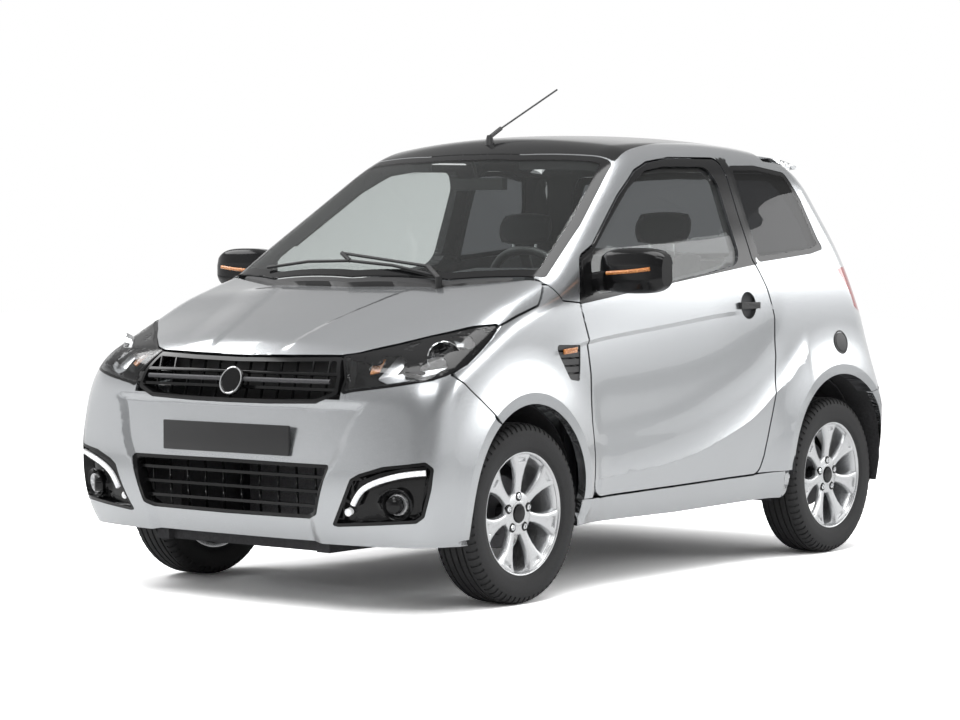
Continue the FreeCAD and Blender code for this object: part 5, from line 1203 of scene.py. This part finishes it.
# %% [markdown]
# ## Fog lamps and running lights
# Each lower corner has a black recess with a round lamp, a white light guide that bends over it and a
# small round marker. The guide is one rod on a black carrier, since it has an even section along its
# whole bend. The rings and the bowl are lathed.

# %% Fog lamps and running lights
led_white = finish("led_white", (0.90, 0.92, 0.95), 0.25, coat=1.0)
grain(led_white, 90, (0.62, 0.64, 0.68), (1.0, 1.0, 1.0), bump=0.3, distance=0.001, rough=(0.15, 0.35),
      kind="CELLS")
led_white.node_tree.nodes["Principled BSDF"].inputs["Emission Color"].default_value = (1, 1, 1, 1)
led_white.node_tree.nodes["Principled BSDF"].inputs["Emission Strength"].default_value = 0.35
run = [(1.272, 0.702, 0.428), (1.300, 0.655, 0.424), (1.325, 0.600, 0.410), (1.341, 0.548, 0.392),
       (1.347, 0.505, 0.366), (1.347, 0.484, 0.328)]
both_sides(rod("Running_light_left", [tuple(q) for q in sunk(run, 0.007)], 0.0085), led_white, "body",
           40)
carrier = sunk([(1.262, 0.705, 0.446), (1.300, 0.640, 0.440), (1.330, 0.570, 0.424), (1.346, 0.505, 0.398),
                (1.350, 0.466, 0.318), (1.348, 0.500, 0.322), (1.345, 0.524, 0.366), (1.330, 0.590, 0.392),
                (1.300, 0.655, 0.406), (1.268, 0.705, 0.410)], 0.018)
both_sides(plate_through("Light_carrier_left", carrier, 0.010), gloss_black, "body")
dot_place, dot_way = on_nose(0.462, 0.303, -0.010)
dot = lathe("Running_dot_left", [(-0.014, 0.0004), (-0.014, 0.0115), (0.001, 0.0115), (0.005, 0.0080),
                                 (0.0065, 0.0004)], 24)
dot.data.transform(Matrix.Translation(dot_place) @ facing(dot_way))
both_sides(dot, led_white, "body", 40)
fog_place, fog_way = on_nose(0.623, 0.332, -0.014)
bezel = lathe("Fog_bezel_left", [(-0.022, 0.030), (-0.004, 0.0335), (0.005, 0.0420), (0.008, 0.0460),
                                 (0.005, 0.0480), (-0.004, 0.0440), (-0.022, 0.036)], 48)
bezel.data.transform(Matrix.Translation(fog_place) @ facing(fog_way))
both_sides(bezel, gloss_black, "body", 40)
fog_bowl = lathe("Fog_reflector_left",
                 [(-0.004, 0.0004), (-0.002, 0.010), (-0.012, 0.014), (-0.006, 0.022), (0.004, 0.0285),
                                        (0.006, 0.0310), (-0.004, 0.0325), (-0.020, 0.0300),
                  (-0.022, 0.0004)], 20)
fog_bowl.data.transform(Matrix.Translation(fog_place) @ facing(fog_way))
both_sides(fog_bowl, lamp_pattern, "body", 20)
print("fog lamp at", [round(v, 3) for v in fog_place])

# %% [markdown]
# ## Grille bar and blank badge
# The upper grille has a metal bar across it with a round badge in the middle. The badge stays blank: a
# black disc in a bright ring. Behind the bars a plain black sheet stands in for the radiator, so no light
# shows through; its black is also painted shade for the dark space behind the grille.

# %% Grille bar and blank badge
# A satin black sheet behind the bars: painted shade for the dark space behind the grille, also standing in for the
# radiator.
settle(block("Grille_shade_backing", (1.180, -0.40, 0.605), (1.186, 0.40, 0.745), 0.001), satin_black, "body")
bar = [tuple(on_nose(y, 0.684, -0.004)[0])
       for y in (-0.372, -0.29, -0.20, -0.10, 0.0, 0.10, 0.20, 0.29, 0.372)]
settle(rod("Grille_bar", bar, 0.0075), dark_steel, "body", 40)
badge_place, badge_way = on_nose(0.0, 0.676, 0.004)
badge = lathe("Blank_badge", [(-0.010, 0.0004), (-0.010, 0.044), (0.000, 0.045), (0.0030, 0.043),
                              (0.0034, 0.038), (0.0018, 0.036), (0.0020, 0.0004)], 64)
badge.data.transform(Matrix.Translation(badge_place) @ facing(badge_way))
settle(badge, gloss_black, "body", 30)
badge_ring = lathe("Badge_ring",
        [(0.0000, 0.0385), (0.0044, 0.0392), (0.0052, 0.0412), (0.0044, 0.0434), (0.0000, 0.0442)], 64)
badge_ring.data.transform(Matrix.Translation(badge_place) @ facing(badge_way))
settle(badge_ring, bright_metal, "body", 30)
print("badge at", [round(v, 3) for v in badge_place])

# %% [markdown]
# ## Side markers, mirror strips and charge cap
# The small things on the flanks: an orange repeater in the vent, an orange strip round the mirror's
# housing and a round black cap over the charging socket. The strip is laid through points where rays
# meet the mirror, since that housing isn't part of the skin's formula.

# %% Side markers, mirror strips and charge cap
marker = sunk([(0.600, 0.703, 0.766), (0.522, 0.700, 0.770), (0.524, 0.700, 0.754), (0.596, 0.703, 0.750)],
              0.001)
both_sides(plate_through("Side_marker_left", marker, 0.006), orange, "body")


def touch(node, origin, way):
    """Where a ray first meets a CAD node."""
    hit, place, normal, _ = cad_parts[node].ray_cast(Vector(origin), Vector(way))
    return place if hit else None


strip_line = []
for y, z in ((0.735, 0.999), (0.780, 1.001), (0.825, 1.004), (0.865, 1.008), (0.900, 1.012)):
    place = touch("door_mirror_left", (0.9, y, z), (-1, 0, 0))
    if place:
        strip_line.append(tuple(place))
print("mirror strip through", len(strip_line), "points")
both_sides(rod("Mirror_strip_left", strip_line, 0.0062), orange, "door_left", 40)
cap_place, cap_way = on_skin(-1.030, 0.746, 1, -0.001)
charge = lathe("Charge_cap_left",
               [(-0.004, 0.0004), (-0.004, 0.0430), (0.0025, 0.0430), (0.0042, 0.0410), (0.0042, 0.0375),
                                   (0.0022, 0.0362), (0.0022, 0.0345), (0.0050, 0.0330), (0.0062, 0.0240),
                (0.0066, 0.0004)], 56)
charge.data.transform(Matrix.Translation(cap_place) @ facing(cap_way))
settle(charge, satin_black, "body", 30).name = "Charge_cap_left"

# %% [markdown]
# ## Rear arch liners
# A dark moulded liner closes the space between the rear tyre and the body. It is a grid bent along the
# arch and given a wall, which leaves the wheel room and keeps daylight from showing past it.

# %% Rear arch liners
arc = [(REAR_AXLE + 0.3005 * math.cos(math.radians(a)), 0.338 + 0.3005 * math.sin(math.radians(a)))
       for a in range(-8, 150, 7)]
arc += [(REAR_AXLE + x, z) for x,
        z in ((-0.272, 0.440), (-0.283, 0.380), (-0.2872, 0.320), (-0.2872, 0.275), (-0.2855, 0.240))]
bpy.ops.mesh.primitive_grid_add(x_subdivisions=1, y_subdivisions=len(arc) - 1)
liner = bpy.context.object
liner.name = "Arch_liner_left"
place_points(liner, [(x, y, z) for x, z in arc for y in (0.555, min(0.730, 0.680 + 0.15 * z))])
wall = liner.modifiers.new("Wall", "SOLIDIFY")
wall.thickness = 0.003
wall.offset = 0
apply_all(liner)
pick(liner, lambda centre, normal: True)
bpy.ops.mesh.normals_make_consistent(inside=False)
bpy.ops.object.mode_set(mode="OBJECT")
both_sides(liner, underseal, "body", 40)
print("liner:", len(arc), "stations along the arch")


# %% [markdown]
# ## Blank number plate
# A number plate is a pressed sheet on a flat carrier. It stays blank. A rounded block just ahead of the
# bumper's face is enough, since a plate is flat where the bumper is curved.

# %% Blank plate
half_plate, low_plate, high_plate = 0.258, 0.462, 0.552
front_x = max(on_nose(0.0, 0.50)[0].x, on_nose(half_plate, 0.50)[0].x)
plate = block("Blank_plate_front", (front_x + 0.001, -half_plate, low_plate),
              (front_x + 0.010, half_plate, high_plate), 0.003)
settle(plate, satin_black, "body")

# %% [markdown]
# ## Floor
# A studio floor is a white sweep that the camera sees as pure white while it keeps the soft shadow. More
# light would bleach the car as well, so the floor is brighter for camera rays alone and stays a plain pale
# grey for the light that it throws back on the car.

# %% Floor
bpy.ops.mesh.primitive_plane_add(size=60)
floor = bpy.context.object
floor.name = "Floor"
floor_paint = bpy.data.materials.new("floor_white")
floor_paint.use_nodes = True
nodes, links = floor_paint.node_tree.nodes, floor_paint.node_tree.links
nodes.remove(nodes["Principled BSDF"])
matt = nodes.new("ShaderNodeBsdfDiffuse")
matt.inputs["Color"].default_value = (0.80, 0.80, 0.80, 1)
seen = nodes.new("ShaderNodeBsdfDiffuse")
seen.inputs["Color"].default_value = (2.3, 2.3, 2.3, 1)
rays = nodes.new("ShaderNodeLightPath")
choose = nodes.new("ShaderNodeMixShader")
links.new(rays.outputs["Is Camera Ray"], choose.inputs["Fac"])
links.new(matt.outputs["BSDF"], choose.inputs[1])
links.new(seen.outputs["BSDF"], choose.inputs[2])
links.new(choose.outputs["Shader"], nodes["Material Output"].inputs["Surface"])
floor.data.materials.append(floor_paint)
print("floor:", [round(v, 1) for v in floor.dimensions])

# %% [markdown]
# ## Backdrop
# In a studio the walls decide what a silver car looks like. Straight at the camera the backdrop is white,
# but mirrored in the paint it grows darker with height and towards the camera, as a dark studio does behind
# the photographer. That gives the sides their even grey.

# %% Backdrop
world = bpy.data.worlds.new("Backdrop")
bpy.context.scene.world = world
world.use_nodes = True
nodes, links = world.node_tree.nodes, world.node_tree.links
sky = nodes["Background"]
sky.inputs["Color"].default_value = (1, 1, 1, 1)
sky.inputs["Strength"].default_value = 0.50
white = nodes.new("ShaderNodeBackground")
white.inputs["Color"].default_value = (1, 1, 1, 1)
white.inputs["Strength"].default_value = 1.0
way = nodes.new("ShaderNodeTexCoord")
parts = nodes.new("ShaderNodeSeparateXYZ")
heights = nodes.new("ShaderNodeValToRGB")
levels = ((0.0, 1.0), (0.10, 1.0), (0.24, 0.95), (0.42, 0.42), (0.75, 0.45), (1.0, 0.70))
while len(heights.color_ramp.elements) < len(levels):
    heights.color_ramp.elements.new(0.5)
for stop, (height, tone) in zip(heights.color_ramp.elements, levels):
    stop.position = height
    stop.color = (tone, tone, tone, 1)
shown = nodes.new("ShaderNodeBackground")
shown.inputs["Strength"].default_value = 1.0
behind = nodes.new("ShaderNodeVectorMath")
behind.operation = "DOT_PRODUCT"
behind.inputs[1].default_value = (0.80, 0.60, 0.0)
shade = nodes.new("ShaderNodeMapRange")
shade.interpolation_type = "SMOOTHSTEP"
shade.inputs["From Min"].default_value = 0.30
shade.inputs["From Max"].default_value = 0.92
shade.inputs["To Min"].default_value = 1.0
shade.inputs["To Max"].default_value = 0.38
links.new(way.outputs["Generated"], behind.inputs[0])
links.new(behind.outputs["Value"], shade.inputs["Value"])
links.new(shade.outputs["Result"], shown.inputs["Strength"])
rays = nodes.new("ShaderNodeLightPath")
seen_or_through = nodes.new("ShaderNodeMath")
seen_or_through.operation = "MAXIMUM"
for_gloss = nodes.new("ShaderNodeMixShader")
for_view = nodes.new("ShaderNodeMixShader")
links.new(way.outputs["Generated"], parts.inputs["Vector"])
links.new(parts.outputs["Z"], heights.inputs["Fac"])
links.new(heights.outputs["Color"], shown.inputs["Color"])
links.new(rays.outputs["Is Glossy Ray"], for_gloss.inputs["Fac"])
links.new(sky.outputs["Background"], for_gloss.inputs[1])
links.new(shown.outputs["Background"], for_gloss.inputs[2])
links.new(rays.outputs["Is Camera Ray"], seen_or_through.inputs[0])
links.new(rays.outputs["Is Transmission Ray"], seen_or_through.inputs[1])
links.new(seen_or_through.outputs["Value"], for_view.inputs["Fac"])
links.new(for_gloss.outputs["Shader"], for_view.inputs[1])
links.new(white.outputs["Background"], for_view.inputs[2])
links.new(for_view.outputs["Shader"], nodes["World Output"].inputs["Surface"])
print("backdrop levels:", levels)

# %% [markdown]
# ## Lamps
# Broad soft boxes hang over the car, as in a car studio. Each is an area lamp, because small lamps would
# leave hard points in the paint. The largest lights the roof and bonnet, the others the nose and the flanks.

# %% Lamps
def area_light(name, place, aim, size, power, wide=None):
    lamp = bpy.data.lights.new(name, "AREA")
    lamp.energy = power
    lamp.shape = "RECTANGLE"
    lamp.size = size
    lamp.size_y = wide or size
    holder = bpy.data.objects.new(name, lamp)
    holder.location = place
    holder.rotation_euler = (Vector(aim) - Vector(place)).to_track_quat("-Z", "Y").to_euler()
    bpy.context.collection.objects.link(holder)
    return holder


area_light("Top_light", (0.8, 0.8, 5.2), (0.4, 0, 0), 5.5, 230, 3.0)
area_light("Far_light", (1.6, -4.6, 4.6), (0.6, 0, 0.6), 5.0, 120, 2.0)
area_light("Side_light", (-5.2, 5.0, 2.7), (0, 0.3, 0.7), 6.5, 120, 1.8)
area_light("Nose_light", (5.2, 3.0, 5.6), (0.6, 0, 0.5), 4.0, 90, 2.0)

# %% [markdown]
# ## Camera
# The photograph's viewpoint was solved from the wheels: a long lens at hip height, ahead of the car and
# to its left. A long lens keeps the wheels round and the verticals nearly parallel.

# %% Camera
lens = bpy.data.cameras.new("Camera")
lens.lens = 101.71
lens.sensor_width = 36
camera = bpy.data.objects.new("Camera", lens)
camera.location = (7.3222, 5.6085, 1.0643)
camera.rotation_euler = (math.pi / 2 - 0.0398, 0, -2.4802 - math.pi / 2)
bpy.context.collection.objects.link(camera)
scene = bpy.context.scene
scene.camera = camera
scene.render.resolution_x, scene.render.resolution_y = 960, 720
scene.view_settings.view_transform = "Standard"
print("camera at", [round(v, 2) for v in camera.location], "with a", round(lens.lens), "mm lens")
